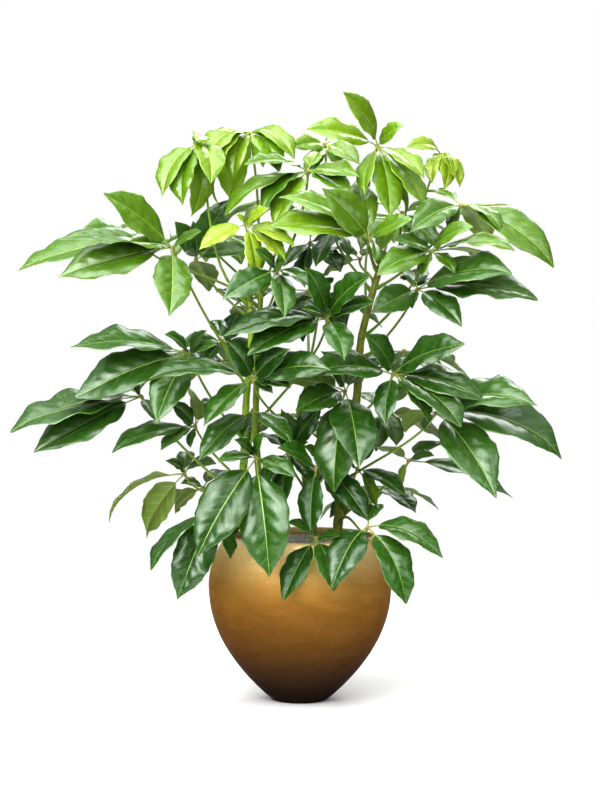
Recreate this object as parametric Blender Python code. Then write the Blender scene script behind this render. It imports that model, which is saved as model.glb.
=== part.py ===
"""Potted umbrella plant: a round planter filled with soil, four stems and their compound leaves.

Metres, +Z up, origin under the middle of the pot's foot. The plant's best side faces -Y.
Each compound leaf is one solid: a petiole, a hub and a whorl of stalked leaflets fused together.
"""
import math
import random
from itertools import product
from typing import NamedTuple

import bmesh
import bpy
from mathutils import Matrix, Vector
from mathutils.bvhtree import BVHTree

CM = 0.01
GAP = 0.0003
SMOOTH_ANGLE = math.radians(40)

# Pot: a belly over a narrow foot, a shoulder, a crease ring and a short neck
POT_SIDES = 24
BELLY_RADIUS = 0.2295
BELLY_HEIGHT = 0.290
FOOT_ROUNDING = ((0.058, 0.0), (0.068, 0.0035), (0.077, 0.009))
FOOT_RADIUS = 0.085
FOOT_EDGE_HEIGHT = 0.016
LOWER_ROUNDNESS = 2.1
SHOULDER_SPAN = 0.212
CREASE_HEIGHT = 0.400
LIP_HEIGHT = 0.418
LIP_RADIUS = 0.190
LIP_ROUND = 0.002
WALL = 0.009
POT_FLOOR = 0.014
FLOOR_CORNER = 0.004
FLOOR_CORNER_SLOPE = 1.2
LOWER_STEPS = 6
SHOULDER_STEPS = 3

# Filling: soil up to its top, and a loose layer of grains over it
SOIL_TOP = 0.384
GRAIN_TOP = 0.400
GRAIN_RELIEF = 0.003
GRAIN_RINGS = 5
GRAIN_SIDES = 24
GRAIN_FIT = 0.985
ROOT_DEPTH = 0.300
STEM_SIDES = 10
STEM_TIP_HEIGHT = 1.2
STEM_TIP_SHARE = 0.45

# Compound leaf
PETIOLE_BASE_RADIUS = 0.0055
PETIOLE_RADIUS = 0.0034
PETIOLE_STATIONS = ((0.30, 1.15), (0.62, 1.0), (0.93, 0.95))
PETIOLE_LEAVES_OUT = 0.75
PETIOLE_LEAVES_UP = 0.65
PETIOLE_ARRIVES = 0.28
SEAT_GAP = 0.00035
SEAT_STEPS = 12
FOOT_CLEARANCE = 0.8
PAST_THE_FOOT = 0.1
HUB_RADIUS = 0.0058
HUB_LENGTH = 0.010
HUB_TAPER = 0.6
STALK_RADIUS = 0.0017
STALK_SETBACK = 0.0015
WIDTH_TO_LENGTH = 0.45
RIB_THICKNESS = 0.0018
EDGE_THICKNESS = 0.0009
EDGE_FOLD = 0.14
ARCH_HANGING = 0.12
ARCH_LEVEL = 0.18
EDGE_WAVE = 0.035
BLADE_START = 0.14
BLADE_STATIONS = ((0.32, 0.80), (0.56, 1.00), (0.82, 0.54))
SMALL_STATIONS = ((0.36, 0.88), (0.68, 0.84))
SMALL_LENGTH = 0.20

# Room kept free round a leaflet or a petiole while its place is looked for
LEAFLET_ROOM = 0.0022
PETIOLE_ROOM = 0.0018
SIBLING_ROOM = 0.0006

# How a petiole or a leaflet may be moved aside, each with the size of move that counts as one step
PETIOLE_TURNS = (0, 20, -20, 40, -40, 65, -65)
PETIOLE_SHIFTS = (0, -1.6, 1.6, -3.2, 3.2, -5, -7)
PETIOLE_BOWS = (0.38, 0.28, 0.50)
TURN_STEP, SHIFT_STEP, BOW_STEP = 20, 1.6, 0.125
LEAFLET_SCALES = (1.0, 0.94, 0.86, 0.76, 0.64)
LEAFLET_ASIDES = (0, 5, -5, 11, -11, 19, -19, 30, -30)
LEAFLET_DEPTHS = (0, 9, -9, 20, -20, 34, -34, 50, -50)
LEAFLET_ROLLS = (0, 14, -14, 30, -30, 50, -50)
SCALE_STEP, ASIDE_STEP, DEPTH_STEP, ROLL_STEP = 0.07, 8, 14, 18
MOST_STEPS = 6.5

# Which way a leaf looks, and how long its leaflets are beside what the eye sees of them
NEARLY_ALONG = 0.97
FRONT_LEAN = 0.28
OUTWARD_LEAN = 1.4
SEEN_LENGTHENING = 1.22
SEEN_EXTRA = 1.0
SEEN_LEAST = 1.03
FAR_LENGTHENING = 1.5
FAR_EXTRA = 3.0
FILL_HALF_SPREAD = 60
FILL_DROOP = 0.42

# Leaf places are read in the upright plane through the pot's axis, as seen from here
EYE_DISTANCE = 750.0
EYE_HEIGHT = 125.0

TONES = {
    "new": ((0.34, 0.52, 0.03), 0.35),
    "mid": ((0.09, 0.24, 0.04), 0.30),
    "dark": ((0.03, 0.11, 0.02), 0.28),
    "olive": ((0.12, 0.20, 0.06), 0.45),
}


class Stem(NamedTuple):
    """A stem's path in centimetres, from the soil up, with its radii at foot and top."""

    foot_radius: float
    top_radius: float
    path: tuple
    color: tuple


STEMS = {
    "left_front": Stem(1.00, 0.72, (
        (-11.3, -4.0, 41.5), (-14.0, -4.6, 50.0), (-13.8, -4.8, 66.0), (-13.3, -4.6, 77.0),
        (-12.2, -4.2, 89.0), (-12.4, -3.6, 98.0), (-12.6, -3.2, 103.5)), (0.13, 0.30, 0.05)),
    "left_back": Stem(0.92, 0.66, (
        (-7.5, 4.5, 41.5), (-10.0, 4.0, 54.0), (-11.0, 3.6, 66.0), (-11.0, 3.4, 80.0),
        (-10.4, 3.6, 93.0), (-9.6, 4.2, 105.5)), (0.05, 0.13, 0.04)),
    "right": Stem(1.20, 0.80, (
        (9.4, 1.0, 41.5), (10.2, 1.4, 51.0), (12.0, 1.6, 63.5), (14.2, 1.4, 76.0),
        (15.2, 1.2, 90.0), (17.2, 1.0, 99.0), (19.6, 1.2, 107.5), (21.0, 1.4, 112.0)), (0.16, 0.19, 0.06)),
    "middle": Stem(0.80, 0.50, (
        (3.8, 6.0, 41.5), (1.6, 5.6, 52.0), (0.6, 5.0, 64.0), (1.2, 4.6, 76.0), (2.4, 4.6, 86.0)),
        (0.09, 0.16, 0.05)),
}


class Leaf(NamedTuple):
    """A compound leaf in centimetres.

    hub is (across, up, depth) and seen lists each leaflet's tip from the hub as (across, up, face),
    with its own length where it points at or away from the eye. face is how squarely the upper side
    faces the eye: 1 is square on, 0 is edge on, and below 0 the underside shows. far tips point away.
    droop is how much more than usual the leaflets arch.
    """

    name: str
    stem: str
    attach: float
    hub: tuple
    length: float
    tone: str
    seen: tuple
    far: tuple = ()
    fill: int = 0
    droop: float = 0.0


LEAVES = (
    Leaf("crown_left", "left_front", 102.0, (-12.5, 142.3, 4), 20, "new", (
        (-14.3, -11.8, 0.6), (-10.3, -11.8, 0.65), (-4.0, -12.0, 0.85), (6.5, -10.3, 0.85),
        (11.3, -6.5, 0.6)),
        ((3.0, -8.5), (-4.8, -17.0), (-8.5, -18.3)), 0, 0.26),
    Leaf("crown_far_left", "left_front", 100.0, (-25.5, 139.5, -4), 18, "new", (
        (-8.3, -12.8, 0.7), (-3.5, -15.0, 0.8), (1.8, -17.0, 0.75), (5.0, -16.0, 0.8), (1.5, -8.3, 0.8)),
        ((6.0, -9.0), (-1.0, -13.0)), 0, 0.18),
    Leaf("newest_left", "left_front", 101.0, (-13.5, 119.6, -16), 14, "new", (
        (-11.3, -6.0, 0.7), (2.8, -13.0, 0.75), (9.8, -9.0, 0.6), (11.8, -5.0, 0.5), (5.5, 4.0, 0.6),
        (-2.3, 2.4, 0.6))),
    Leaf("crown_middle", "right", 110.0, (6.3, 139.6, 10), 14, "new", (
        (-8.5, -1.0, 0.8), (-4.5, -8.5, 0.8), (3.0, -6.0, 0.8), (8.5, -5.0, 0.75)), ((6.3, 0.5),)),
    Leaf("crown_right", "right", 108.0, (19.3, 139.1, -4), 20, "new", (
        (-9.0, 12.8, 0.6), (6.0, 5.3, 0.7), (11.3, -7.8, 0.6), (11.5, -15.0, 0.6), (2.8, -17.8, 0.85),
        (7.4, -18.0, 0.4), (-3.5, -12.0, 0.6), (-18.0, 3.8, 0.6))),
    Leaf("newest_right", "right", 110.5, (35.0, 137.0, 8), 11, "new", (
        (-8.7, 1.5, 0.6), (-2.5, -7.3, 0.8), (0.5, -9.0, 0.8), (5.2, -9.0, 0.8), (3.0, -6.5, 0.5)),
        ((1.0, -5.5),), 0, 0.25),
    Leaf("upper_far_right", "right", 104.0, (40.3, 124.4, -6), 27, "mid", (
        (22.8, -15.0, 0.7), (9.5, -6.0, 0.4), (-13.3, -6.5, 0.8), (-2.6, -6.5, 0.7)),
        ((18.0, -9.0), (7.0, -10.0), (-9.3, 2.0)), 0, 0.05),
    Leaf("upper_right", "right", 92.0, (32.8, 112.9, -12), 22, "mid", (
        (20.0, 1.0, 0.25), (5.5, -5.0, 0.7), (9.3, 6.5, 0.5), (-9.0, 3.0, 0.6), (-2.5, -6.0, 0.7),
        (-13.5, -5.5, 0.8)), ((17.0, -4.0),)),
    Leaf("upper_middle", "right", 98.0, (17.3, 115.9, -12), 26, "mid", (
        (-11.8, 12.5, 0.9), (-24.3, 3.0, 0.5), (-22.0, 11.0, 0.4), (1.0, -5.0, 0.5, 12), (10.0, 5.0, 0.6)),
        ((-1.0, 10.5),)),
    Leaf("upper_front", "left_back", 92.0, (-5.8, 108.4, -18), 18, "mid", (
        (-14.3, -7.5, 0.85), (1.8, -11.5, 0.85, 16), (8.3, -3.8, 0.6), (6.5, 6.0, 0.5), (-4.3, 5.8, 0.6))),
    Leaf("left_big", "left_back", 80.0, (-32.0, 113.9, -8), 29, "mid", (
        (-16.0, 13.3, 0.65), (-27.0, 2.2, 0.3), (-27.6, -7.0, 0.7), (-12.0, 0.5, 0.5), (0.3, -16.0, 0.95, 24),
        (7.5, 4.0, 0.5)), ((-13.0, 5.0),), 0, -0.08),
    Leaf("left_low_tip", "left_back", 99.0, (-41.0, 116.2, 8), 31, "mid", (
        (-29.0, -7.4, 0.4), (-12.0, 4.0, 0.5)), ((-14.0, -5.0), (5.0, 5.0)), 0, -0.10),
    Leaf("left_behind", "left_back", 94.0, (-26.0, 110.9, 10), 18, "dark", (
        (14.3, 2.0, 0.5), (-5.0, 9.5, 0.8), (7.0, 12.5, 0.9), (-0.5, 11.5, 0.9)), ((3.0, -8.0),)),
    Leaf("behind_left_stem", "left_back", 95.0, (-14.3, 99.0, 18), 17, "dark", (
        (-4.0, -9.0, 0.8), (7.0, -8.0, 0.8)), ((-7.0, 4.0), (9.0, 3.0)), 1),
    Leaf("left_middle", "left_front", 67.0, (-27.8, 87.1, -10), 30, "dark", (
        (-28.5, 1.8, 0.35), (-27.2, -10.6, 0.75), (-7.5, -16.3, 0.95), (-5.3, 5.5, 0.4), (4.8, 6.3, 0.5),
        (7.3, 2.8, 0.5), (-2.2, -3.4, 0.8))),
    Leaf("left_reach", "left_front", 51.0, (-39.8, 76.6, -4), 31, "dark", (
        (-25.8, -13.0, 0.7), (-32.5, -10.0, 0.4), (-18.8, -1.3, -0.3), (4.5, -5.8, 0.7), (-2.5, 4.5, 0.5)),
        ((-10.0, 4.0),), 0, -0.10),
    Leaf("left_inner", "left_front", 56.0, (-26.3, 69.1, -4), 23, "dark", (
        (-1.3, 10.5, -0.6), (-6.0, 6.5, 0.8), (-21.5, -5.8, 0.4), (-8.5, -4.8, 0.5), (-1.0, -5.0, 0.7)),
        ((6.0, 6.0),)),
    Leaf("front_left_small", "left_front", 60.0, (-11.8, 73.1, -13), 20, "dark", (
        (-13.0, -11.8, 0.8), (9.5, -7.3, 0.6), (-2.5, -6.0, 0.6))),
    Leaf("front_middle_left", "middle", 64.0, (-11.8, 80.9, -20), 26, "dark", (
        (-25.0, 1.0, 0.3), (-11.5, -10.8, 0.6), (-6.3, 9.8, 0.85), (9.0, 8.0, 0.85), (9.3, -1.5, 0.6),
        (16.8, 3.0, 0.5), (4.3, -2.6, 0.8))),
    Leaf("front_middle", "left_back", 70.0, (6.8, 96.1, -18), 24, "dark", (
        (4.0, -9.5, 0.9, 17), (-5.5, 12.8, 0.7), (9.3, 11.8, 0.6), (-19.3, -8.3, 0.65),
        (-26.0, -6.5, 0.35, 28), (11.3, 4.0, 0.5), (-6.3, 2.8, 0.5))),
    Leaf("right_upper", "right", 86.0, (29.3, 103.4, -6), 30, "dark", (
        (29.5, -2.0, 0.5), (22.0, 5.3, 0.5), (11.3, -7.5, 0.8), (-11.8, -5.5, 0.6), (-1.5, -4.5, 0.7)),
        ((-3.5, 9.5), (-9.0, 7.0))),
    Leaf("right_middle", "right", 70.0, (23.3, 82.1, -15), 25, "dark", (
        (-2.3, -11.3, 0.9, 16), (-21.0, 0.8, 0.5), (-7.5, 10.5, 0.7), (16.8, 8.0, 0.5), (22.6, -6.0, 0.6),
        (17.0, -10.0, 0.6), (8.5, -10.5, 0.7)), ((16.0, 2.3),)),
    Leaf("right_reach", "right", 56.0, (34.0, 72.4, -8), 30, "dark", (
        (14.0, -19.3, 0.9), (31.5, -10.0, 0.55), (23.8, 3.5, 0.5), (-0.5, 4.5, 0.5), (-3.0, -4.0, 0.5)),
        ((10.0, 4.0), (-7.0, -6.0)), 0, 0.11),
    Leaf("right_low", "right", 47.0, (27.3, 60.4, 2), 27, "dark", (
        (25.5, -9.0, 0.3), (-7.8, 3.3, -0.5), (-2.0, -6.0, -0.6), (6.0, 2.0, 0.5)), ((14.0, 2.0),)),
    Leaf("right_behind", "right", 60.0, (20.8, 72.9, 20), 20, "olive", (
        (15.3, -10.8, -0.5), (4.0, -5.5, -0.8), (4.5, -12.0, 0.6), (-2.0, -9.5, 0.8)),
        ((-6.0, 4.0), (10.0, 6.0))),
    Leaf("front_pair", "middle", 66.0, (11.3, 77.9, -12), 26, "dark", (
        (-3.0, -24.0, 0.85), (3.6, -19.8, 0.95), (-16.3, 4.0, -0.5), (-14.5, -3.5, 0.8), (-5.8, 10.5, 0.6)),
        ((-10.0, -8.0), (7.0, 5.0))),
    Leaf("front_right_small", "right", 50.0, (14.3, 58.4, -8), 17, "dark", (
        (11.5, -6.0, 0.5), (-6.0, 3.0, 0.5), (5.5, -8.3, -0.6)), ((4.0, 6.0),)),
    Leaf("front_right_broad", "middle", 50.0, (6.5, 58.9, -13), 18, "dark", (
        (10.3, -12.8, 0.9), (-5.0, 5.0, 0.5)), ((-4.0, -11.0), (5.0, -13.0), (5.0, 4.0))),
    Leaf("front_low_left", "left_front", 45.0, (-11.0, 61.1, -26), 29, "dark", (
        (3.3, -28.2, 1.0), (-14.0, -22.8, 0.95), (9.5, -4.0, 0.6), (1.8, 6.5, 0.5), (-4.8, 5.5, 0.5),
        (-9.0, -0.3, 0.4))),
    Leaf("front_low_middle", "middle", 46.0, (4.0, 58.6, -20), 16, "dark", (
        (-1.0, -15.0, 0.9), (-9.0, 6.0, 0.5))),
    Leaf("rim_right", "right", 45.0, (17.0, 43.6, -21), 21, "dark", (
        (-8.8, -13.3, 0.85), (9.0, -17.8, 0.85), (17.8, -6.5, 0.55)), ((4.0, 5.0),), 0, 0.20),
    Leaf("rim_middle", "middle", 44.5, (4.0, 40.9, -23), 18, "dark", (
        (-7.8, -14.3, 0.8), (4.5, -11.5, 0.8), (-6.5, 5.3, 0.5), (6.0, 1.0, 0.5))),
    Leaf("left_underside", "left_front", 48.0, (-29.0, 57.1, 10), 23, "olive", (
        (-19.8, -11.3, -0.2), (-9.0, -13.0, -0.9), (-4.5, 4.0, 0.5), (8.3, 3.3, 0.4)), ((0.0, 5.0),),
        0, 0.12),
    Leaf("left_underside_low", "left_back", 46.0, (-24.3, 53.6, 16), 20, "olive", (
        (-14.8, -12.0, -0.4), (-7.0, -5.8, -0.7), (-5.5, 1.8, 0.5)), ((6.0, 3.0),), 0, 0.08),
    Leaf("rim_left", "left_front", 43.5, (-22.0, 47.9, -15), 24, "dark", (
        (-14.5, -13.0, 0.2), (-8.5, -21.3, 1.0), (4.3, -11.0, 0.5))),
    Leaf("rim_left_small", "left_front", 47.0, (-18.5, 50.5, 2), 12, "dark", (
        (2.0, -8.0, 0.7), (-6.0, -4.0, 0.6)), ((5.0, 4.0),)),
    Leaf("upper_centre", "left_back", 103.0, (2.0, 132.9, -4), 25, "mid", (
        (12.5, -1.5, 0.6), (10.5, -6.0, 0.7), (-21.5, -8.5, 0.3), (-15.5, 1.5, 0.3), (-8.3, -14.0, 0.6),
        (-11.5, -9.5, 0.6)), ((3.0, 5.0),)),
    Leaf("centre_small", "right", 103.0, (8.8, 117.9, 0), 14, "mid", (
        (-4.8, -8.8, 0.7), (3.3, -6.5, 0.6)), ((-6.0, 3.0), (5.0, 3.0))),
    Leaf("centre_underside", "right", 105.0, (15.0, 111.0, 10), 14, "olive", (
        (-7.3, 3.0, -0.4), (-10.0, -4.5, -0.5)), ((5.0, 2.0),)),
    Leaf("low_between_stems", "middle", 53.0, (-3.0, 62.5, -4), 16, "dark", (
        (-6.0, -7.5, 0.7), (-1.0, -12.5, 0.8), (7.0, -8.0, 0.6), (5.0, 3.0, 0.5), (-1.5, 11.5, 0.85),
        (4.5, 10.5, 0.8)), ((-8.0, 4.0),)),
    Leaf("inner_upper", "left_back", 103.5, (2.5, 115.0, 11), 18, "dark", (
        (-6.5, -6.0, 0.6), (-1.5, -11.0, 0.7), (8.0, -9.0, 0.6), (9.0, 3.0, 0.5)), ((1.0, 8.0),)),
    Leaf("inner_right", "right", 109.0, (25.5, 122.5, 3), 17, "mid", (
        (-5.5, -9.5, 0.7), (3.0, -12.0, 0.7), (10.0, -8.5, 0.6), (9.0, 2.0, 0.5)), ((-7.0, 2.0),)),
    Leaf("inner_left", "left_front", 80.0, (-19.5, 90.5, 3), 17, "dark", (
        (-10.0, -1.0, 0.6), (-5.0, -8.0, 0.7), (9.5, -3.0, 0.6), (7.0, 4.0, 0.6)),
        ((-2.0, 5.0), (3.0, -10.0))),
    Leaf("inner_middle", "middle", 83.0, (5.0, 101.5, -6), 17, "dark", (
        (-10.0, -5.0, 0.6), (-4.5, -10.5, 0.7), (5.0, -11.0, 0.7), (10.0, -2.0, 0.5)), ((3.0, 6.0),)),
    Leaf("back_top", "left_back", 104.0, (-4.0, 126.0, 24), 20, "mid", (), (), 5),
    Leaf("back_upper_right", "right", 108.0, (24.0, 122.0, 24), 21, "mid", (), (), 5),
    Leaf("back_upper_left", "left_back", 101.0, (-24.0, 118.0, 26), 21, "mid", (), (), 5),
    Leaf("back_middle", "middle", 84.0, (2.0, 103.0, 32), 23, "dark", (), (), 5),
    Leaf("back_right", "right", 80.0, (26.0, 88.0, 24), 21, "dark", (), (), 5),
    Leaf("back_left", "left_back", 82.0, (-29.0, 88.0, 25), 23, "dark", (), (), 5),
    Leaf("back_low_middle", "middle", 60.0, (-3.0, 72.0, 32), 23, "dark", (), (), 5),
    Leaf("back_low_right", "right", 52.0, (18.0, 54.0, 27), 20, "dark", (), (), 5),
)


def clear_scene():
    """Remove whatever the file already holds."""
    for thing in list(bpy.data.objects):
        bpy.data.objects.remove(thing, do_unlink=True)


def make_material(name, color, roughness, metallic=0.0):
    """A Principled material with a plain colour and finish."""
    material = bpy.data.materials.new(name)
    material.use_nodes = True
    shader = material.node_tree.nodes["Principled BSDF"]
    shader.inputs["Base Color"].default_value = (*color, 1.0)
    shader.inputs["Roughness"].default_value = roughness
    shader.inputs["Metallic"].default_value = metallic
    return material


def add_object(name, verts, faces, smooth=False):
    """Make an object of a closed mesh, with its faces turned outwards."""
    mesh = bpy.data.meshes.new(name)
    mesh.from_pydata([tuple(v) for v in verts], [], faces)
    body = bmesh.new()
    body.from_mesh(mesh)
    bmesh.ops.recalc_face_normals(body, faces=body.faces)
    body.to_mesh(mesh)
    body.free()
    if smooth:
        mesh.shade_smooth()
        mesh.set_sharp_from_angle(angle=SMOOTH_ANGLE)
    thing = bpy.data.objects.new(name, mesh)
    bpy.context.scene.collection.objects.link(thing)
    return thing


def apply_boolean(body, operation, others, solver):
    """Join or cut a body with a collection of others, apply it and remove the others."""
    group = bpy.data.collections.new("operands")
    bpy.context.scene.collection.children.link(group)
    for other in others:
        group.objects.link(other)
    modifier = body.modifiers.new("boolean", "BOOLEAN")
    modifier.operation = operation
    modifier.operand_type = "COLLECTION"
    modifier.collection = group
    modifier.solver = solver
    graph = bpy.context.evaluated_depsgraph_get()
    mesh = bpy.data.meshes.new_from_object(body.evaluated_get(graph))
    body.modifiers.clear()
    body.data = mesh
    for other in others:
        bpy.data.objects.remove(other, do_unlink=True)
    bpy.data.collections.remove(group)


def turned(name, profile, sides):
    """Turn a profile of (radius, height) about the Z axis; both its ends lie on the axis."""
    verts = [Vector((0.0, 0.0, profile[0][1]))]
    for radius, height in profile[1:-1]:
        for k in range(sides):
            angle = 2 * math.pi * k / sides
            verts.append(Vector((radius * math.cos(angle), radius * math.sin(angle), height)))
    verts.append(Vector((0.0, 0.0, profile[-1][1])))
    faces = []
    last = len(verts) - 1
    ring_count = len(profile) - 2
    for k in range(sides):
        after = (k + 1) % sides
        faces.append((0, 1 + k, 1 + after))
        for ring in range(ring_count - 1):
            low = 1 + ring * sides
            high = low + sides
            faces.append((low + k, low + after, high + after, high + k))
        top = 1 + (ring_count - 1) * sides
        faces.append((top + k, last, top + after))
    return add_object(name, verts, faces, smooth=True)


def pot_outline():
    """The pot's outside from the flat of the foot up to the crease ring, as (radius, height)."""
    points = list(FOOT_ROUNDING)
    for k in range(LOWER_STEPS + 1):
        drop = 1.0 - k / LOWER_STEPS
        radius = BELLY_RADIUS - (BELLY_RADIUS - FOOT_RADIUS) * drop ** LOWER_ROUNDNESS
        points.append((radius, BELLY_HEIGHT - (BELLY_HEIGHT - FOOT_EDGE_HEIGHT) * drop))
    for k in range(1, SHOULDER_STEPS + 1):
        height = BELLY_HEIGHT + (CREASE_HEIGHT - BELLY_HEIGHT) * k / SHOULDER_STEPS
        rise = (height - BELLY_HEIGHT) / SHOULDER_SPAN
        points.append((BELLY_RADIUS * math.sqrt(1.0 - rise ** 2), height))
    return points


def offset_inwards(points, distance):
    """Move an outline towards the axis side by a distance, square to itself at every point."""
    moved = []
    for k, (radius, height) in enumerate(points):
        before = points[max(k - 1, 0)]
        after = points[min(k + 1, len(points) - 1)]
        run = Vector((after[0] - before[0], after[1] - before[1])).normalized()
        moved.append((radius - run.y * distance, height + run.x * distance))
    return moved


def inner_outline(distance, floor, top):
    """The pot's outline moved in by a distance, kept between a floor and a top height."""
    low = floor + FLOOR_CORNER
    high = top - FLOOR_CORNER
    wall = [point for point in offset_inwards(pot_outline(), distance) if low < point[1] < high]
    first_radius, first_height = wall[0]
    floor_radius = first_radius - FLOOR_CORNER_SLOPE * (first_height - floor)
    return [(floor_radius, floor)] + wall


def build_pot():
    """The planter: outside, neck and lip, and inside, turned as one closed wall."""
    outer = pot_outline()
    neck = [(LIP_RADIUS + LIP_ROUND, LIP_HEIGHT - 3 * LIP_ROUND), (LIP_RADIUS, LIP_HEIGHT - LIP_ROUND),
            (LIP_RADIUS - LIP_ROUND, LIP_HEIGHT), (LIP_RADIUS - WALL + LIP_ROUND, LIP_HEIGHT),
            (LIP_RADIUS - WALL, LIP_HEIGHT - LIP_ROUND)]
    inner = inner_outline(WALL, POT_FLOOR, CREASE_HEIGHT)
    profile = [(0.0, 0.0)] + outer + neck + list(reversed(inner)) + [(0.0, POT_FLOOR)]
    pot = turned("pot", profile, POT_SIDES)
    pot.data.materials.append(make_material("bronze_gold", (0.60, 0.33, 0.08), 0.35, 0.8))
    return pot


def wall_radius(height, distance):
    """Radius of the pot's inside at a height, less a distance."""
    outline = offset_inwards(pot_outline(), distance)
    for low, high in zip(outline, outline[1:]):
        if low[1] <= height <= high[1]:
            share = (height - low[1]) / (high[1] - low[1])
            return low[0] + (high[0] - low[0]) * share
    return outline[-1][0]


def build_soil(stems):
    """The potting mix, a gap inside the pot's wall, with a hole for each stem."""
    inner = inner_outline(WALL + GAP, POT_FLOOR + GAP, SOIL_TOP)
    edge = wall_radius(SOIL_TOP, WALL + GAP)
    profile = [(0.0, POT_FLOOR + GAP)] + inner + [(edge, SOIL_TOP), (0.0, SOIL_TOP)]
    soil = turned("soil", profile, POT_SIDES)
    cut_stem_holes(soil, stems)
    soil.data.materials.append(make_material("dark_soil", (0.03, 0.02, 0.015), 0.95))
    return soil


def build_granulate(stems):
    """A layer of loose grains: flat below, uneven above, inside the pot's wall."""
    draw = random.Random(7)
    low = SOIL_TOP + GAP
    bottom_edge = wall_radius(low, WALL + GAP) * GRAIN_FIT
    top_edge = wall_radius(GRAIN_TOP, WALL + GAP) * GRAIN_FIT
    verts = []
    for k in range(GRAIN_SIDES):
        angle = 2 * math.pi * k / GRAIN_SIDES
        verts.append((bottom_edge * math.cos(angle), bottom_edge * math.sin(angle), low))
    for ring in range(GRAIN_RINGS):
        radius = top_edge * (1.0 - ring / GRAIN_RINGS)
        for k in range(GRAIN_SIDES):
            angle = 2 * math.pi * (k + 0.5 * (ring % 2)) / GRAIN_SIDES
            rise = draw.uniform(-GRAIN_RELIEF, GRAIN_RELIEF)
            verts.append((radius * math.cos(angle), radius * math.sin(angle), GRAIN_TOP + rise))
    verts.append((0.0, 0.0, GRAIN_TOP))
    faces = [tuple(range(GRAIN_SIDES))]
    for ring in range(GRAIN_RINGS):
        start = ring * GRAIN_SIDES
        for k in range(GRAIN_SIDES):
            after = (k + 1) % GRAIN_SIDES
            a, b = start + k, start + after
            c, d = b + GRAIN_SIDES, a + GRAIN_SIDES
            faces.append((a, b, d))
            faces.append((b, c, d))
    start = GRAIN_RINGS * GRAIN_SIDES
    middle = start + GRAIN_SIDES
    for k in range(GRAIN_SIDES):
        faces.append((start + k, start + (k + 1) % GRAIN_SIDES, middle))
    grains = add_object("granulate", verts, faces)
    cut_stem_holes(grains, stems)
    grains.data.materials.append(make_material("pale_grains", (0.55, 0.53, 0.50), 0.9))
    return grains


def ring_of(centre, radius, sides):
    """A level ring of points round a centre."""
    points = []
    for k in range(sides):
        angle = 2 * math.pi * k / sides
        points.append(centre + Vector((math.cos(angle), math.sin(angle), 0.0)) * radius)
    return points


def tube(rings):
    """Points and triangles of a closed tube through rings of equally many points, with flat ends."""
    sides = len(rings[0])
    verts = [point for ring in rings for point in ring]
    last = (len(rings) - 1) * sides
    faces = [tuple(range(sides)), tuple(range(last, last + sides))]
    for low in range(0, last, sides):
        high = low + sides
        for j in range(sides):
            after = (j + 1) % sides
            faces.append((low + j, low + after, high + after))
            faces.append((low + j, high + after, high + j))
    return verts, faces


def stem_rings(stem):
    """Level rings of a stem: a straight root, then its path, and a blunt growing tip."""
    foot = stem.path[0]
    stations = [(foot[0], foot[1], ROOT_DEPTH / CM, stem.foot_radius)]
    lowest = foot[2]
    highest = stem.path[-1][2]
    for x, y, z in stem.path:
        share = (z - lowest) / (highest - lowest)
        stations.append((x, y, z, stem.foot_radius + (stem.top_radius - stem.foot_radius) * share))
    x, y, z = stem.path[-1]
    stations.append((x, y, z + STEM_TIP_HEIGHT, stem.top_radius * STEM_TIP_SHARE))
    return [(Vector((x, y, z)) * CM, radius * CM) for x, y, z, radius in stations]


def build_stems():
    """One tapered tube for each stem, by its name."""
    bodies = {}
    for key, stem in STEMS.items():
        rings = [ring_of(centre, radius, STEM_SIDES) for centre, radius in stem_rings(stem)]
        body = add_object("stem_" + key, *tube(rings), smooth=True)
        body.data.materials.append(make_material("bark_" + key, stem.color, 0.6))
        bodies[key] = body
    return bodies


def cut_stem_holes(body, stems):
    """Cut the plain upright holes that the stems' roots stand in."""
    cutters = []
    for key in stems:
        centre, radius = stem_rings(STEMS[key])[0]
        hole = radius + GAP / math.cos(math.pi / STEM_SIDES)
        low = Vector((centre.x, centre.y, centre.z - GAP))
        high = Vector((centre.x, centre.y, LIP_HEIGHT))
        rings = [ring_of(low, hole, STEM_SIDES), ring_of(high, hole, STEM_SIDES)]
        cutters.append(add_object("hole", *tube(rings)))
    apply_boolean(body, "DIFFERENCE", cutters, "EXACT")


def stem_at(key, height):
    """Centre, radius and direction of a stem at a height in metres."""
    rings = stem_rings(STEMS[key])
    for (low, low_radius), (high, high_radius) in zip(rings[1:], rings[2:]):
        if low.z <= height <= high.z:
            share = (height - low.z) / (high.z - low.z)
            centre = low.lerp(high, share)
            return centre, low_radius + (high_radius - low_radius) * share, (high - low).normalized()
    raise ValueError("no stem " + key + " at this height")


def from_front(across, up, depth):
    """The place in metres of a point seen at (across, up) in the axis plane and lying at a depth."""
    spread = 1.0 + depth / EYE_DISTANCE
    return Vector((across * spread, depth, EYE_HEIGHT + (up - EYE_HEIGHT) * spread)) * CM


class Crowd:
    """Solids already placed, each with its box, for quick tests of what a new one would cross."""

    def __init__(self):
        self.items = []

    def add(self, verts, faces, owner):
        low, high = box_of(verts)
        self.items.append((low, high, BVHTree.FromPolygons(verts, faces), owner))

    def meets(self, verts, faces, skip=()):
        low, high = box_of(verts)
        tree = None
        for other_low, other_high, other, owner in self.items:
            if owner in skip:
                continue
            if any(low[i] > other_high[i] or high[i] < other_low[i] for i in range(3)):
                continue
            if tree is None:
                tree = BVHTree.FromPolygons(verts, faces)
            if tree.overlap(other):
                return True
        return False


def box_of(verts):
    """Lowest and highest corners round some points."""
    low = [min(v[i] for v in verts) for i in range(3)]
    high = [max(v[i] for v in verts) for i in range(3)]
    return low, high


def object_mesh(thing):
    """An object's points and faces."""
    return [v.co.copy() for v in thing.data.vertices], [tuple(p.vertices) for p in thing.data.polygons]


def square_to(direction, hint):
    """The unit vector nearest to a hint that is square to a direction."""
    flat = hint - direction * hint.dot(direction)
    return flat.normalized()


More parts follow.
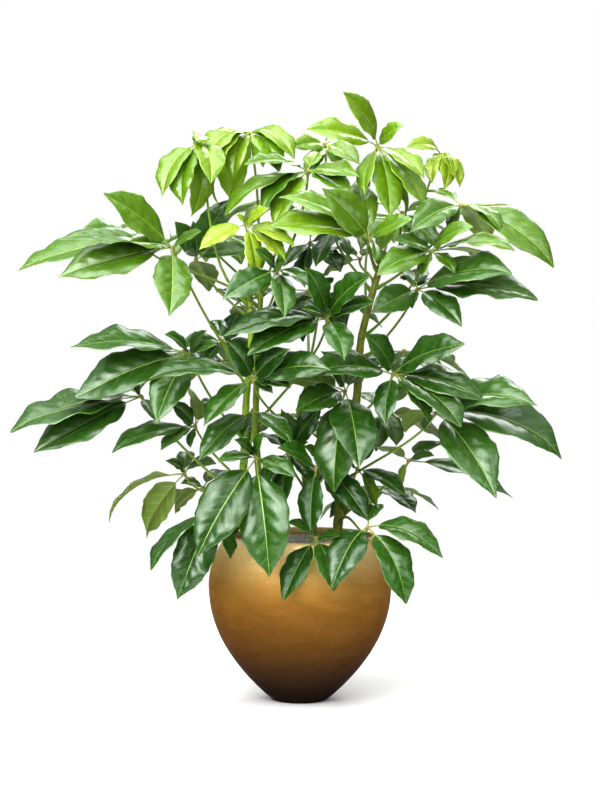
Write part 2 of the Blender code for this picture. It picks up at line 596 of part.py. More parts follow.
class Petiole:
    """A leaf's stalk: a smooth bow from the stem's side up into the hub."""

    def __init__(self, leaf, turn, shift, bow):
        self.hub = from_front(*leaf.hub)
        height = (leaf.attach + shift) * CM
        centre, radius, along = stem_at(leaf.stem, height)
        out = square_to(along, self.hub - centre)
        out = Matrix.Rotation(math.radians(turn), 3, along) @ out
        self.out = out
        self.along = along
        self.foot = centre + out * (radius + 2 * SEAT_GAP)
        span = (self.hub - self.foot).length
        self.leave = self.foot + (out * PETIOLE_LEAVES_OUT + along * PETIOLE_LEAVES_UP) * span * bow
        self.arrive = self.hub - leaf_axis(self.hub) * span * PETIOLE_ARRIVES

    def point(self, t):
        s = 1.0 - t
        return (self.foot * s ** 3 + self.leave * 3 * s * s * t + self.arrive * 3 * s * t * t
                + self.hub * t ** 3)

    def direction(self, t):
        s = 1.0 - t
        slope = ((self.leave - self.foot) * s * s + (self.arrive - self.leave) * 2 * s * t
                 + (self.hub - self.arrive) * t * t)
        return slope.normalized()

    def rings(self, grow=0.0, start=0.0):
        rings = []
        if start == 0.0:
            rings.append(square_ring(self.foot, self.out, self.along, PETIOLE_BASE_RADIUS + grow))
        for t, share in PETIOLE_STATIONS:
            if t > start:
                radius = PETIOLE_RADIUS * share + grow
                rings.append(square_ring(self.point(t), self.direction(t), self.along, radius))
        end = self.direction(1.0)
        rings.append(square_ring(self.hub, end, self.along, HUB_RADIUS + grow))
        crown = self.hub + end * HUB_LENGTH * HUB_TAPER
        rings.append(square_ring(crown, end, self.along, HUB_RADIUS * HUB_TAPER + grow))
        return rings

    def mesh(self, grow=0.0, start=0.0):
        return tube(self.rings(grow, start))

    def seat(self, stem_tree):
        """Slide the foot out or in until it lies a gap away from the stem's surface."""
        for _ in range(SEAT_STEPS):
            ring = square_ring(self.foot, self.out, self.along, PETIOLE_BASE_RADIUS)
            probes = ring + [self.foot] + [a.lerp(b, 0.5) for a, b in zip(ring, ring[1:] + ring[:1])]
            probes += [self.foot.lerp(point, 0.5) for point in ring]
            nearest = min(stem_tree.find_nearest(point)[3] for point in probes)
            self.foot = self.foot + self.out * (SEAT_GAP - nearest)


def square_ring(centre, direction, hint, radius):
    """Four points round a centre, square to a direction."""
    if abs(direction.dot(hint)) > NEARLY_ALONG:
        hint = Vector((1, 0, 0))
    up = square_to(direction, hint)
    side = direction.cross(up)
    return [centre + up * radius, centre + side * radius, centre - up * radius, centre - side * radius]


def leaf_axis(hub):
    """The way a leaf looks: up, and away from the pot's axis and a little to the front."""
    outward = Vector((hub.x, hub.y, 0.0))
    return (Vector((0, -FRONT_LEAN, 1)) + outward * OUTWARD_LEAN).normalized()


class Leaflet:
    """A stalked blade along an arch from the hub to its tip, with its upper side along up."""

    def __init__(self, hub, tip, up, waves, droop):
        chord = tip - hub
        self.length = chord.length
        self.chord = chord / self.length
        self.up = square_to(self.chord, up)
        self.side = self.chord.cross(self.up)
        self.hub = hub
        self.tip = tip
        level = math.hypot(self.chord.x, self.chord.y)
        arch = ARCH_HANGING + (ARCH_LEVEL - ARCH_HANGING) * level + droop
        self.middle = hub.lerp(tip, 0.5) + self.up * arch * self.length
        self.width = WIDTH_TO_LENGTH * self.length
        self.waves = waves

    def point(self, t):
        return self.hub * (1 - t) ** 2 + self.middle * 2 * t * (1 - t) + self.tip * t * t

    def normal(self, t):
        slope = (self.middle - self.hub) * (1 - t) + (self.tip - self.middle) * t
        return self.side.cross(slope).normalized()

    def mesh(self, grow=0.0, whole=True):
        """Points and triangles, with the upper and lower faces split alike."""
        verts = []
        faces = []
        stalk = STALK_RADIUS + grow
        starts = [STALK_SETBACK / self.length, BLADE_START] if whole else [BLADE_START]
        for t in starts:
            centre = self.point(t)
            up = self.normal(t)
            raised = centre + up * 0.5 * stalk
            verts += [raised + self.side * stalk, raised - self.side * stalk, centre - up * stalk]
        if whole:
            for a in range(3):
                b = (a + 1) % 3
                faces += [(a, b, b + 3), (a, b + 3, a + 3)]
        faces.append((0, 1, 2))
        base = len(verts) - 3
        stations = SMALL_STATIONS if self.length < SMALL_LENGTH else BLADE_STATIONS
        for k, (t, share) in enumerate(stations):
            centre = self.point(t)
            up = self.normal(t)
            half = 0.5 * self.width * share + grow
            rise_left = half * EDGE_FOLD + self.width * EDGE_WAVE * self.waves[2 * k]
            rise_right = half * EDGE_FOLD + self.width * EDGE_WAVE * self.waves[2 * k + 1]
            left = centre + self.side * half + up * rise_left
            right = centre - self.side * half + up * rise_right
            edge = up * (0.5 * EDGE_THICKNESS + grow)
            rib = up * (0.5 * RIB_THICKNESS + grow)
            if k < 2:
                verts += [left + edge, centre + rib, right + edge, right - edge, centre - rib, left - edge]
            else:
                verts += [left + edge, right + edge, right - edge, left - edge]
        verts.append(self.point(1.0) + self.chord * grow)
        tip = len(verts) - 1
        a, b, c, d = base, base + 3, base + 9, base + 15
        faces += [(a, a + 1, b + 1), (a, b + 1, b), (a + 1, b + 2, b + 1), (a + 2, b + 5, b + 4),
                  (a + 2, b + 4, b + 3), (a, b, b + 5), (a, b + 5, a + 2), (a + 1, a + 2, b + 3),
                  (a + 1, b + 3, b + 2)]
        faces += [(b, b + 1, c), (b + 1, c + 1, c), (b + 2, b + 1, c + 2), (b + 1, c + 1, c + 2),
                  (b + 5, b + 4, c + 5), (b + 4, c + 4, c + 5), (b + 3, b + 4, c + 3), (b + 4, c + 4, c + 3),
                  (b, c, c + 5), (b, c + 5, b + 5), (b + 2, b + 3, c + 3), (b + 2, c + 3, c + 2)]
        if len(stations) == 2:
            faces += [(c + k, c + (k + 1) % 6, tip) for k in range(6)]
            return verts, faces
        faces += [(c, c + 1, d), (c + 1, c + 2, d + 1), (c + 1, d + 1, d),
                  (c + 5, c + 4, d + 3), (c + 4, c + 3, d + 2), (c + 4, d + 2, d + 3),
                  (c, d, d + 3), (c, d + 3, c + 5), (c + 2, c + 3, d + 2), (c + 2, d + 2, d + 1)]
        faces += [(d + k, d + (k + 1) % 4, tip) for k in range(4)]
        return verts, faces


def upper_side(chord, face):
    """Which way a blade's upper side looks, from how squarely it faces the eye."""
    front = Vector((0, -1, 0))
    if abs(chord.dot(front)) > NEARLY_ALONG:
        front = Vector((0, 0, 1))
    toward = square_to(chord, front)
    across = chord.cross(toward)
    if across.z < 0:
        across = -across
    return toward * face + across * math.sqrt(max(0.0, 1.0 - face * face))


def wanted_leaflets(leaf):
    """Each leaflet's tip from the hub and the way its upper side looks."""
    wanted = []
    for entry in leaf.seen:
        across, up, face = entry[:3]
        shown = math.hypot(across, up)
        reach = max(min(leaf.length, SEEN_LENGTHENING * shown + SEEN_EXTRA), SEEN_LEAST * shown)
        if len(entry) > 3:
            reach = entry[3]
        depth = -math.sqrt(max(reach * reach - shown * shown, 0.0))
        offset = Vector((across, depth, up)) * CM
        wanted.append((offset, upper_side(offset.normalized(), face)))
    for across, up in leaf.far:
        shown = math.hypot(across, up)
        reach = min(leaf.length, FAR_LENGTHENING * shown + FAR_EXTRA)
        offset = Vector((across, math.sqrt(max(reach * reach - shown * shown, 0.0)), up)) * CM
        wanted.append((offset, Vector((0, 0, 1))))
    half_spread = FILL_HALF_SPREAD if leaf.seen else 180
    draw = random.Random("fill of " + leaf.name)
    for k in range(leaf.fill):
        angle = math.radians(half_spread * (2 * (k + 0.5) / leaf.fill - 1))
        reach = leaf.length * draw.uniform(0.70, 1.0)
        droop = FILL_DROOP * draw.uniform(0.7, 1.3)
        direction = Vector((math.sin(angle), math.cos(angle), -droop)).normalized()
        wanted.append((direction * reach * CM, Vector((0, 0, 1))))
    return wanted


def adjustments():
    """Ways to move a leaflet aside, the slightest first: turn aside, swing in depth, roll, shorten."""
    moves = []
    for scale, aside, depth, roll in product(LEAFLET_SCALES, LEAFLET_ASIDES, LEAFLET_DEPTHS, LEAFLET_ROLLS):
        steps = (1 - scale) / SCALE_STEP + abs(aside) / ASIDE_STEP + abs(depth) / DEPTH_STEP
        steps += abs(roll) / ROLL_STEP
        if steps < MOST_STEPS:
            moves.append((steps, scale, aside, depth, roll))
    moves.sort()
    return [move[1:] for move in moves]


def place_leaflets(leaf, petiole, crowd, moves):
    """Find a free place for each leaflet of a leaf, and return those that found one."""
    draw = random.Random("waves of " + leaf.name)
    own = Crowd()
    own.add(*petiole.mesh(), "own")
    placed = []
    for offset, up in wanted_leaflets(leaf):
        waves = [draw.uniform(-1.0, 1.0) for _ in range(6)]
        found = None
        for scale, aside, depth, roll in moves:
            turn = Matrix.Rotation(math.radians(aside), 3, Vector((0, 1, 0)))
            swing_axis = offset.cross(Vector((0, 1, 0)))
            swing = Matrix.Rotation(math.radians(depth), 3, swing_axis.normalized())
            moved = turn @ swing @ offset * scale
            looks = Matrix.Rotation(math.radians(roll), 3, moved.normalized()) @ (turn @ swing @ up)
            trial = Leaflet(petiole.hub, petiole.hub + moved, looks, waves, leaf.droop)
            verts, faces = trial.mesh(LEAFLET_ROOM)
            if crowd.meets(verts, faces, (leaf.name,)):
                continue
            verts, faces = trial.mesh(SIBLING_ROOM, whole=False)
            if own.meets(verts, faces):
                continue
            found = trial
            break
        if found is None:
            print("left out a leaflet of", leaf.name)
            continue
        verts, faces = found.mesh()
        crowd.add(verts, faces, leaf.name)
        own.add(verts, faces, "own")
        placed.append(found)
    return placed


def place_petiole(leaf, crowd, stem_tree):
    """Find a free bow for a leaf's petiole, seated on its stem."""
    choices = []
    for turn, shift, bow in product(PETIOLE_TURNS, PETIOLE_SHIFTS, PETIOLE_BOWS):
        steps = abs(turn) / TURN_STEP + abs(shift) / SHIFT_STEP + abs(bow - PETIOLE_BOWS[0]) / BOW_STEP
        choices.append((steps, turn, shift, bow))
    choices.sort()
    top = STEMS[leaf.stem].path[-1][2]
    bottom = STEMS[leaf.stem].path[0][2]
    for _, turn, shift, bow in choices:
        if not bottom + FOOT_CLEARANCE < leaf.attach + shift < top - FOOT_CLEARANCE:
            continue
        petiole = Petiole(leaf, turn, shift, bow)
        petiole.seat(stem_tree)
        if crowd.meets(*petiole.mesh(PETIOLE_ROOM), (leaf.stem,)):
            continue
        carrier = Crowd()
        carrier.items = [item for item in crowd.items if item[3] == leaf.stem]
        if carrier.meets(*petiole.mesh(PETIOLE_ROOM, start=PAST_THE_FOOT)) or carrier.meets(*petiole.mesh()):
            continue
        return petiole
    print("no free petiole for", leaf.name)
    return None


def build_leaf(leaf, petiole, leaflets):
    """Fuse a leaf's petiole, hub and leaflets into one solid."""
    name = "leaf_" + leaf.name
    body = add_object(name, *petiole.mesh())
    blades = [add_object("blade", *leaflet.mesh()) for leaflet in leaflets]
    apply_boolean(body, "UNION", blades, "MANIFOLD")
    color, roughness = TONES[leaf.tone]
    body.data.materials.clear()
    body.data.materials.append(make_material("skin_" + leaf.name, color, roughness))
    return body


def main():
    """Build the pot and its filling, then find room for every leaf and build it."""
    clear_scene()
    pot = build_pot()
    stems = build_stems()
    soil = build_soil(stems)
    grains = build_granulate(stems)
    crowd = Crowd()
    for thing in (pot, soil, grains):
        crowd.add(*object_mesh(thing), thing.name)
    stem_trees = {}
    for key, body in stems.items():
        verts, faces = object_mesh(body)
        crowd.add(verts, faces, key)
        stem_trees[key] = BVHTree.FromPolygons(verts, faces)
    petioles = {}
    for leaf in LEAVES:
        petiole = place_petiole(leaf, crowd, stem_trees[leaf.stem])
        if petiole is not None:
            crowd.add(*petiole.mesh(), leaf.name)
            petioles[leaf.name] = petiole
    moves = adjustments()
    for leaf in LEAVES:
        if leaf.name in petioles:
            leaflets = place_leaflets(leaf, petioles[leaf.name], crowd, moves)
            build_leaf(leaf, petioles[leaf.name], leaflets)


main()
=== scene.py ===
"""Potted umbrella plant: the finished look of the planter, its filling, the stems and every leaf.

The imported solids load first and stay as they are. Each leaf here is grown along the same curves that its
solid was built on, found again among the solid's corners, and then gets its full outline, waves and veins.
"""

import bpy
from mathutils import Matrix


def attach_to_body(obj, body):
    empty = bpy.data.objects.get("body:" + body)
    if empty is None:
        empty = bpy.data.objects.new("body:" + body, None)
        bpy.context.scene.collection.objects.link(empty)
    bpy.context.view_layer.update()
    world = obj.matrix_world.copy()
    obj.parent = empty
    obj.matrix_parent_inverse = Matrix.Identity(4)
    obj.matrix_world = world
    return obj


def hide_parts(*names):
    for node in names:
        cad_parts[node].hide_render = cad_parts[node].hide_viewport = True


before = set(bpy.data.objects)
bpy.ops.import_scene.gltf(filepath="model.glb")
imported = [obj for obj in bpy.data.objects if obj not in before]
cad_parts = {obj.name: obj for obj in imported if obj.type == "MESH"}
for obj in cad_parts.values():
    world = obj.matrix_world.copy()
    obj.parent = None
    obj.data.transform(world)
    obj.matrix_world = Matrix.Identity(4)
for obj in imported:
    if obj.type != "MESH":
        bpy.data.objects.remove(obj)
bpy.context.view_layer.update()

import logging
import math
import random
from collections.abc import Iterable, Iterator
from dataclasses import dataclass, field
from enum import Enum
from itertools import product
from typing import NamedTuple

import bpy
from mathutils import Matrix, Vector
from mathutils.kdtree import KDTree

log = logging.getLogger("umbrella_plant")

Color = tuple[float, float, float]
Value = float | tuple | bpy.types.NodeSocket

CM = 0.01
LIP_HEIGHT = 0.418
PLAIN_TINT = (0.5, 0.5, 0.5, 1.0)

# A leaf's material slots
TOP, UNDER, PETIOLE, STALK = range(4)

# Where the photograph was taken from, in centimetres: in front of the pot's axis and above the floor
EYE_DISTANCE = 750.0
EYE_HEIGHT = 125.0

# Side veins: how many pairs a blade has, how far along it they run on their way out, and how far the two
# sides are out of step
VEIN_PAIRS = 6.3
VEIN_LEAN = 0.16
VEIN_STAGGER = 0.37

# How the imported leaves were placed. A leaf is found again only while these say the same as their source.
NEARLY_ALONG = 0.97
SEEN_LENGTHENING, SEEN_EXTRA, SEEN_LEAST = 1.22, 1.0, 1.03
FAR_LENGTHENING, FAR_EXTRA = 1.5, 3.0
FILL_HALF_SPREAD, FILL_DROOP = 60, 0.42
FILL_LENGTHS = (0.70, 1.0)
FILL_DROOP_SHARES = (0.7, 1.3)
FOOT_CLEARANCE = 0.8
PETIOLE_TURNS = (0, 20, -20, 40, -40, 65, -65)
PETIOLE_SHIFTS = (0, -1.6, 1.6, -3.2, 3.2, -5, -7)
PETIOLE_BOWS = (0.38, 0.28, 0.50)
LEAFLET_SCALES = (1.0, 0.94, 0.86, 0.76, 0.64)
LEAFLET_ASIDES = (0, 5, -5, 11, -11, 19, -19, 30, -30)
LEAFLET_DEPTHS = (0, 9, -9, 20, -20, 34, -34, 50, -50)
LEAFLET_ROLLS = (0, 14, -14, 30, -30, 50, -50)
SCALE_STEP, ASIDE_STEP, DEPTH_STEP, ROLL_STEP = 0.07, 8, 14, 18
MOST_STEPS = 6.5

# Misfits in metres: what ends the search for a petiole and for a leaflet, and what is worth a warning
PETIOLE_FOUND = 0.0003
LEAFLET_FOUND = 0.00005
LEAF_LOST = 0.0005


class Tone(Enum):
    """How old a leaf is, how deep its green is, and whether it shows its underside. One tone is painted
    shade: a darker, less glossy copy of the dark green for leaves that sit in shade.
    """

    NEWEST = "newest"
    NEW = "new"
    MID = "mid"
    SPRING = "spring"
    FRESH = "fresh"
    DARK = "dark"
    PAINTED_SHADE = "deep"
    OLIVE = "olive"


class Stem(NamedTuple):
    """A stem's path in centimetres, from the soil up, with its radii at foot and top."""

    foot_radius: float
    top_radius: float
    path: tuple
    woody: float


STEMS = {
    "left_front": Stem(1.00, 0.72, (
        (-11.3, -4.0, 41.5), (-14.0, -4.6, 50.0), (-13.8, -4.8, 66.0), (-13.3, -4.6, 77.0),
        (-12.2, -4.2, 89.0), (-12.4, -3.6, 98.0), (-12.6, -3.2, 103.5)), 0.05),
    "left_back": Stem(0.92, 0.66, (
        (-7.5, 4.5, 41.5), (-10.0, 4.0, 54.0), (-11.0, 3.6, 66.0), (-11.0, 3.4, 80.0),
        (-10.4, 3.6, 93.0), (-9.6, 4.2, 105.5)), 0.30),
    "right": Stem(1.20, 0.80, (
        (9.4, 1.0, 41.5), (10.2, 1.4, 51.0), (12.0, 1.6, 63.5), (14.2, 1.4, 76.0),
        (15.2, 1.2, 90.0), (17.2, 1.0, 99.0), (19.6, 1.2, 107.5), (21.0, 1.4, 112.0)), 0.65),
    "middle": Stem(0.80, 0.50, (
        (3.8, 6.0, 41.5), (1.6, 5.6, 52.0), (0.6, 5.0, 64.0), (1.2, 4.6, 76.0), (2.4, 4.6, 86.0)), 0.40),
}


class Leaf(NamedTuple):
    """A compound leaf in centimetres.

    hub is (across, up, depth) and seen lists each leaflet's tip from the hub as (across, up, face),
    with its own length where it points at or away from the eye. face is how squarely the upper side
    faces the eye: 1 is square on, 0 is edge on, and below 0 the underside shows. far tips point away.
    droop is how much more than usual the leaflets arch.
    """

    name: str
    stem: str
    attach: float
    hub: tuple
    length: float
    tone: Tone
    seen: tuple
    far: tuple = ()
    fill: int = 0
    droop: float = 0.0


LEAVES = (
    Leaf("crown_left", "left_front", 102.0, (-12.5, 142.3, 4), 20, Tone.NEW, (
        (-14.3, -11.8, 0.6), (-10.3, -11.8, 0.65), (-4.0, -12.0, 0.85), (6.5, -10.3, 0.85),
        (11.3, -6.5, 0.6)),
        ((3.0, -8.5), (-4.8, -17.0), (-8.5, -18.3)), 0, 0.26),
    Leaf("crown_far_left", "left_front", 100.0, (-25.5, 139.5, -4), 18, Tone.NEW, (
        (-8.3, -12.8, 0.7), (-3.5, -15.0, 0.8), (1.8, -17.0, 0.75), (5.0, -16.0, 0.8), (1.5, -8.3, 0.8)),
        ((6.0, -9.0), (-1.0, -13.0)), 0, 0.18),
    Leaf("newest_left", "left_front", 101.0, (-13.5, 119.6, -16), 14, Tone.NEWEST, (
        (-11.3, -6.0, 0.7), (2.8, -13.0, 0.75), (9.8, -9.0, 0.6), (11.8, -5.0, 0.5), (5.5, 4.0, 0.6),
        (-2.3, 2.4, 0.6))),
    Leaf("crown_middle", "right", 110.0, (6.3, 139.6, 10), 14, Tone.NEW, (
        (-8.5, -1.0, 0.8), (-4.5, -8.5, 0.8), (3.0, -6.0, 0.8), (8.5, -5.0, 0.75)), ((6.3, 0.5),)),
    Leaf("crown_right", "right", 108.0, (19.3, 139.1, -4), 20, Tone.NEW, (
        (-9.0, 12.8, 0.6), (6.0, 5.3, 0.7), (11.3, -7.8, 0.6), (11.5, -15.0, 0.6), (2.8, -17.8, 0.85),
        (7.4, -18.0, 0.4), (-3.5, -12.0, 0.6), (-18.0, 3.8, 0.6))),
    Leaf("newest_right", "right", 110.5, (35.0, 137.0, 8), 11, Tone.NEWEST, (
        (-8.7, 1.5, 0.6), (-2.5, -7.3, 0.8), (0.5, -9.0, 0.8), (5.2, -9.0, 0.8), (3.0, -6.5, 0.5)),
        ((1.0, -5.5),), 0, 0.25),
    Leaf("upper_far_right", "right", 104.0, (40.3, 124.4, -6), 27, Tone.MID, (
        (22.8, -15.0, 0.7), (9.5, -6.0, 0.4), (-13.3, -6.5, 0.8), (-2.6, -6.5, 0.7)),
        ((18.0, -9.0), (7.0, -10.0), (-9.3, 2.0)), 0, 0.05),
    Leaf("upper_right", "right", 92.0, (32.8, 112.9, -12), 22, Tone.MID, (
        (20.0, 1.0, 0.25), (5.5, -5.0, 0.7), (9.3, 6.5, 0.5), (-9.0, 3.0, 0.6), (-2.5, -6.0, 0.7),
        (-13.5, -5.5, 0.8)), ((17.0, -4.0),)),
    Leaf("upper_middle", "right", 98.0, (17.3, 115.9, -12), 26, Tone.MID, (
        (-11.8, 12.5, 0.9), (-24.3, 3.0, 0.5), (-22.0, 11.0, 0.4), (1.0, -5.0, 0.5, 12), (10.0, 5.0, 0.6)),
        ((-1.0, 10.5),)),
    Leaf("upper_front", "left_back", 92.0, (-5.8, 108.4, -18), 18, Tone.MID, (
        (-14.3, -7.5, 0.85), (1.8, -11.5, 0.85, 16), (8.3, -3.8, 0.6), (6.5, 6.0, 0.5), (-4.3, 5.8, 0.6))),
    Leaf("left_big", "left_back", 80.0, (-32.0, 113.9, -8), 29, Tone.MID, (
        (-16.0, 13.3, 0.65), (-27.0, 2.2, 0.3), (-27.6, -7.0, 0.7), (-12.0, 0.5, 0.5), (0.3, -16.0, 0.95, 24),
        (7.5, 4.0, 0.5)), ((-13.0, 5.0),), 0, -0.08),
    Leaf("left_low_tip", "left_back", 99.0, (-41.0, 116.2, 8), 31, Tone.MID, (
        (-29.0, -7.4, 0.4), (-12.0, 4.0, 0.5)), ((-14.0, -5.0), (5.0, 5.0)), 0, -0.10),
    Leaf("left_behind", "left_back", 94.0, (-26.0, 110.9, 10), 18, Tone.DARK, (
        (14.3, 2.0, 0.5), (-5.0, 9.5, 0.8), (7.0, 12.5, 0.9), (-0.5, 11.5, 0.9)), ((3.0, -8.0),)),
    Leaf("behind_left_stem", "left_back", 95.0, (-14.3, 99.0, 18), 17, Tone.DARK, (
        (-4.0, -9.0, 0.8), (7.0, -8.0, 0.8)), ((-7.0, 4.0), (9.0, 3.0)), 1),
    Leaf("left_middle", "left_front", 67.0, (-27.8, 87.1, -10), 30, Tone.DARK, (
        (-28.5, 1.8, 0.35), (-27.2, -10.6, 0.75), (-7.5, -16.3, 0.95), (-5.3, 5.5, 0.4), (4.8, 6.3, 0.5),
        (7.3, 2.8, 0.5), (-2.2, -3.4, 0.8))),
    Leaf("left_reach", "left_front", 51.0, (-39.8, 76.6, -4), 31, Tone.DARK, (
        (-25.8, -13.0, 0.7), (-32.5, -10.0, 0.4), (-18.8, -1.3, -0.3), (4.5, -5.8, 0.7), (-2.5, 4.5, 0.5)),
        ((-10.0, 4.0),), 0, -0.10),
    Leaf("left_inner", "left_front", 56.0, (-26.3, 69.1, -4), 23, Tone.DARK, (
        (-1.3, 10.5, -0.6), (-6.0, 6.5, 0.8), (-21.5, -5.8, 0.4), (-8.5, -4.8, 0.5), (-1.0, -5.0, 0.7)),
        ((6.0, 6.0),)),
    Leaf("front_left_small", "left_front", 60.0, (-11.8, 73.1, -13), 20, Tone.DARK, (
        (-13.0, -11.8, 0.8), (9.5, -7.3, 0.6), (-2.5, -6.0, 0.6))),
    Leaf("front_middle_left", "middle", 64.0, (-11.8, 80.9, -20), 26, Tone.DARK, (
        (-25.0, 1.0, 0.3), (-11.5, -10.8, 0.6), (-6.3, 9.8, 0.85), (9.0, 8.0, 0.85), (9.3, -1.5, 0.6),
        (16.8, 3.0, 0.5), (4.3, -2.6, 0.8))),
    Leaf("front_middle", "left_back", 70.0, (6.8, 96.1, -18), 24, Tone.DARK, (
        (4.0, -9.5, 0.9, 17), (-5.5, 12.8, 0.7), (9.3, 11.8, 0.6), (-19.3, -8.3, 0.65),
        (-26.0, -6.5, 0.35, 28), (11.3, 4.0, 0.5), (-6.3, 2.8, 0.5))),
    Leaf("right_upper", "right", 86.0, (29.3, 103.4, -6), 30, Tone.DARK, (
        (29.5, -2.0, 0.5), (22.0, 5.3, 0.5), (11.3, -7.5, 0.8), (-11.8, -5.5, 0.6), (-1.5, -4.5, 0.7)),
        ((-3.5, 9.5), (-9.0, 7.0))),
    Leaf("right_middle", "right", 70.0, (23.3, 82.1, -15), 25, Tone.DARK, (
        (-2.3, -11.3, 0.9, 16), (-21.0, 0.8, 0.5), (-7.5, 10.5, 0.7), (16.8, 8.0, 0.5), (22.6, -6.0, 0.6),
        (17.0, -10.0, 0.6), (8.5, -10.5, 0.7)), ((16.0, 2.3),)),
    Leaf("right_reach", "right", 56.0, (34.0, 72.4, -8), 30, Tone.DARK, (
        (14.0, -19.3, 0.9), (31.5, -10.0, 0.55), (23.8, 3.5, 0.5), (-0.5, 4.5, 0.5), (-3.0, -4.0, 0.5)),
        ((10.0, 4.0), (-7.0, -6.0)), 0, 0.11),
    Leaf("right_low", "right", 47.0, (27.3, 60.4, 2), 27, Tone.DARK, (
        (25.5, -9.0, 0.3), (-7.8, 3.3, -0.5), (-2.0, -6.0, -0.6), (6.0, 2.0, 0.5)), ((14.0, 2.0),)),
    Leaf("right_behind", "right", 60.0, (20.8, 72.9, 20), 20, Tone.OLIVE, (
        (15.3, -10.8, -0.5), (4.0, -5.5, -0.8), (4.5, -12.0, 0.6), (-2.0, -9.5, 0.8)),
        ((-6.0, 4.0), (10.0, 6.0))),
    Leaf("front_pair", "middle", 66.0, (11.3, 77.9, -12), 26, Tone.DARK, (
        (-3.0, -24.0, 0.85), (3.6, -19.8, 0.95), (-16.3, 4.0, -0.5), (-14.5, -3.5, 0.8), (-5.8, 10.5, 0.6)),
        ((-10.0, -8.0), (7.0, 5.0))),
    Leaf("front_right_small", "right", 50.0, (14.3, 58.4, -8), 17, Tone.DARK, (
        (11.5, -6.0, 0.5), (-6.0, 3.0, 0.5), (5.5, -8.3, -0.6)), ((4.0, 6.0),)),
    Leaf("front_right_broad", "middle", 50.0, (6.5, 58.9, -13), 18, Tone.DARK, (
        (10.3, -12.8, 0.9), (-5.0, 5.0, 0.5)), ((-4.0, -11.0), (5.0, -13.0), (5.0, 4.0))),
    Leaf("front_low_left", "left_front", 45.0, (-11.0, 61.1, -26), 29, Tone.DARK, (
        (3.3, -28.2, 1.0), (-14.0, -22.8, 0.95), (9.5, -4.0, 0.6), (1.8, 6.5, 0.5), (-4.8, 5.5, 0.5),
        (-9.0, -0.3, 0.4))),
    Leaf("front_low_middle", "middle", 46.0, (4.0, 58.6, -20), 16, Tone.DARK, (
        (-1.0, -15.0, 0.9), (-9.0, 6.0, 0.5))),
    Leaf("rim_right", "right", 45.0, (17.0, 43.6, -21), 21, Tone.DARK, (
        (-8.8, -13.3, 0.85), (9.0, -17.8, 0.85), (17.8, -6.5, 0.55)), ((4.0, 5.0),), 0, 0.20),
    Leaf("rim_middle", "middle", 44.5, (4.0, 40.9, -23), 18, Tone.DARK, (
        (-7.8, -14.3, 0.8), (4.5, -11.5, 0.8), (-6.5, 5.3, 0.5), (6.0, 1.0, 0.5))),
    Leaf("left_underside", "left_front", 48.0, (-29.0, 57.1, 10), 23, Tone.OLIVE, (
        (-19.8, -11.3, -0.2), (-9.0, -13.0, -0.9), (-4.5, 4.0, 0.5), (8.3, 3.3, 0.4)), ((0.0, 5.0),),
        0, 0.12),
    Leaf("left_underside_low", "left_back", 46.0, (-24.3, 53.6, 16), 20, Tone.OLIVE, (
        (-14.8, -12.0, -0.4), (-7.0, -5.8, -0.7), (-5.5, 1.8, 0.5)), ((6.0, 3.0),), 0, 0.08),
    Leaf("rim_left", "left_front", 43.5, (-22.0, 47.9, -15), 24, Tone.DARK, (
        (-14.5, -13.0, 0.2), (-8.5, -21.3, 1.0), (4.3, -11.0, 0.5))),
    Leaf("rim_left_small", "left_front", 47.0, (-18.5, 50.5, 2), 12, Tone.DARK, (
        (2.0, -8.0, 0.7), (-6.0, -4.0, 0.6)), ((5.0, 4.0),)),
    Leaf("upper_centre", "left_back", 103.0, (2.0, 132.9, -4), 25, Tone.MID, (
        (12.5, -1.5, 0.6), (10.5, -6.0, 0.7), (-21.5, -8.5, 0.3), (-15.5, 1.5, 0.3), (-8.3, -14.0, 0.6),
        (-11.5, -9.5, 0.6)), ((3.0, 5.0),)),
    Leaf("centre_small", "right", 103.0, (8.8, 117.9, 0), 14, Tone.MID, (
        (-4.8, -8.8, 0.7), (3.3, -6.5, 0.6)), ((-6.0, 3.0), (5.0, 3.0))),
    Leaf("centre_underside", "right", 105.0, (15.0, 111.0, 10), 14, Tone.OLIVE, (
        (-7.3, 3.0, -0.4), (-10.0, -4.5, -0.5)), ((5.0, 2.0),)),
    Leaf("low_between_stems", "middle", 53.0, (-3.0, 62.5, -4), 16, Tone.DARK, (
        (-6.0, -7.5, 0.7), (-1.0, -12.5, 0.8), (7.0, -8.0, 0.6), (5.0, 3.0, 0.5), (-1.5, 11.5, 0.85),
        (4.5, 10.5, 0.8)), ((-8.0, 4.0),)),
    Leaf("inner_upper", "left_back", 103.5, (2.5, 115.0, 11), 18, Tone.DARK, (
        (-6.5, -6.0, 0.6), (-1.5, -11.0, 0.7), (8.0, -9.0, 0.6), (9.0, 3.0, 0.5)), ((1.0, 8.0),)),
    Leaf("inner_right", "right", 109.0, (25.5, 122.5, 3), 17, Tone.MID, (
        (-5.5, -9.5, 0.7), (3.0, -12.0, 0.7), (10.0, -8.5, 0.6), (9.0, 2.0, 0.5)), ((-7.0, 2.0),)),
    Leaf("inner_left", "left_front", 80.0, (-19.5, 90.5, 3), 17, Tone.DARK, (
        (-10.0, -1.0, 0.6), (-5.0, -8.0, 0.7), (9.5, -3.0, 0.6), (7.0, 4.0, 0.6)),
        ((-2.0, 5.0), (3.0, -10.0))),
    Leaf("inner_middle", "middle", 83.0, (5.0, 101.5, -6), 17, Tone.DARK, (
        (-10.0, -5.0, 0.6), (-4.5, -10.5, 0.7), (5.0, -11.0, 0.7), (10.0, -2.0, 0.5)), ((3.0, 6.0),)),
    Leaf("back_top", "left_back", 104.0, (-4.0, 126.0, 24), 20, Tone.MID, (), (), 5),
    Leaf("back_upper_right", "right", 108.0, (24.0, 122.0, 24), 21, Tone.MID, (), (), 5),
    Leaf("back_upper_left", "left_back", 101.0, (-24.0, 118.0, 26), 21, Tone.MID, (), (), 5),
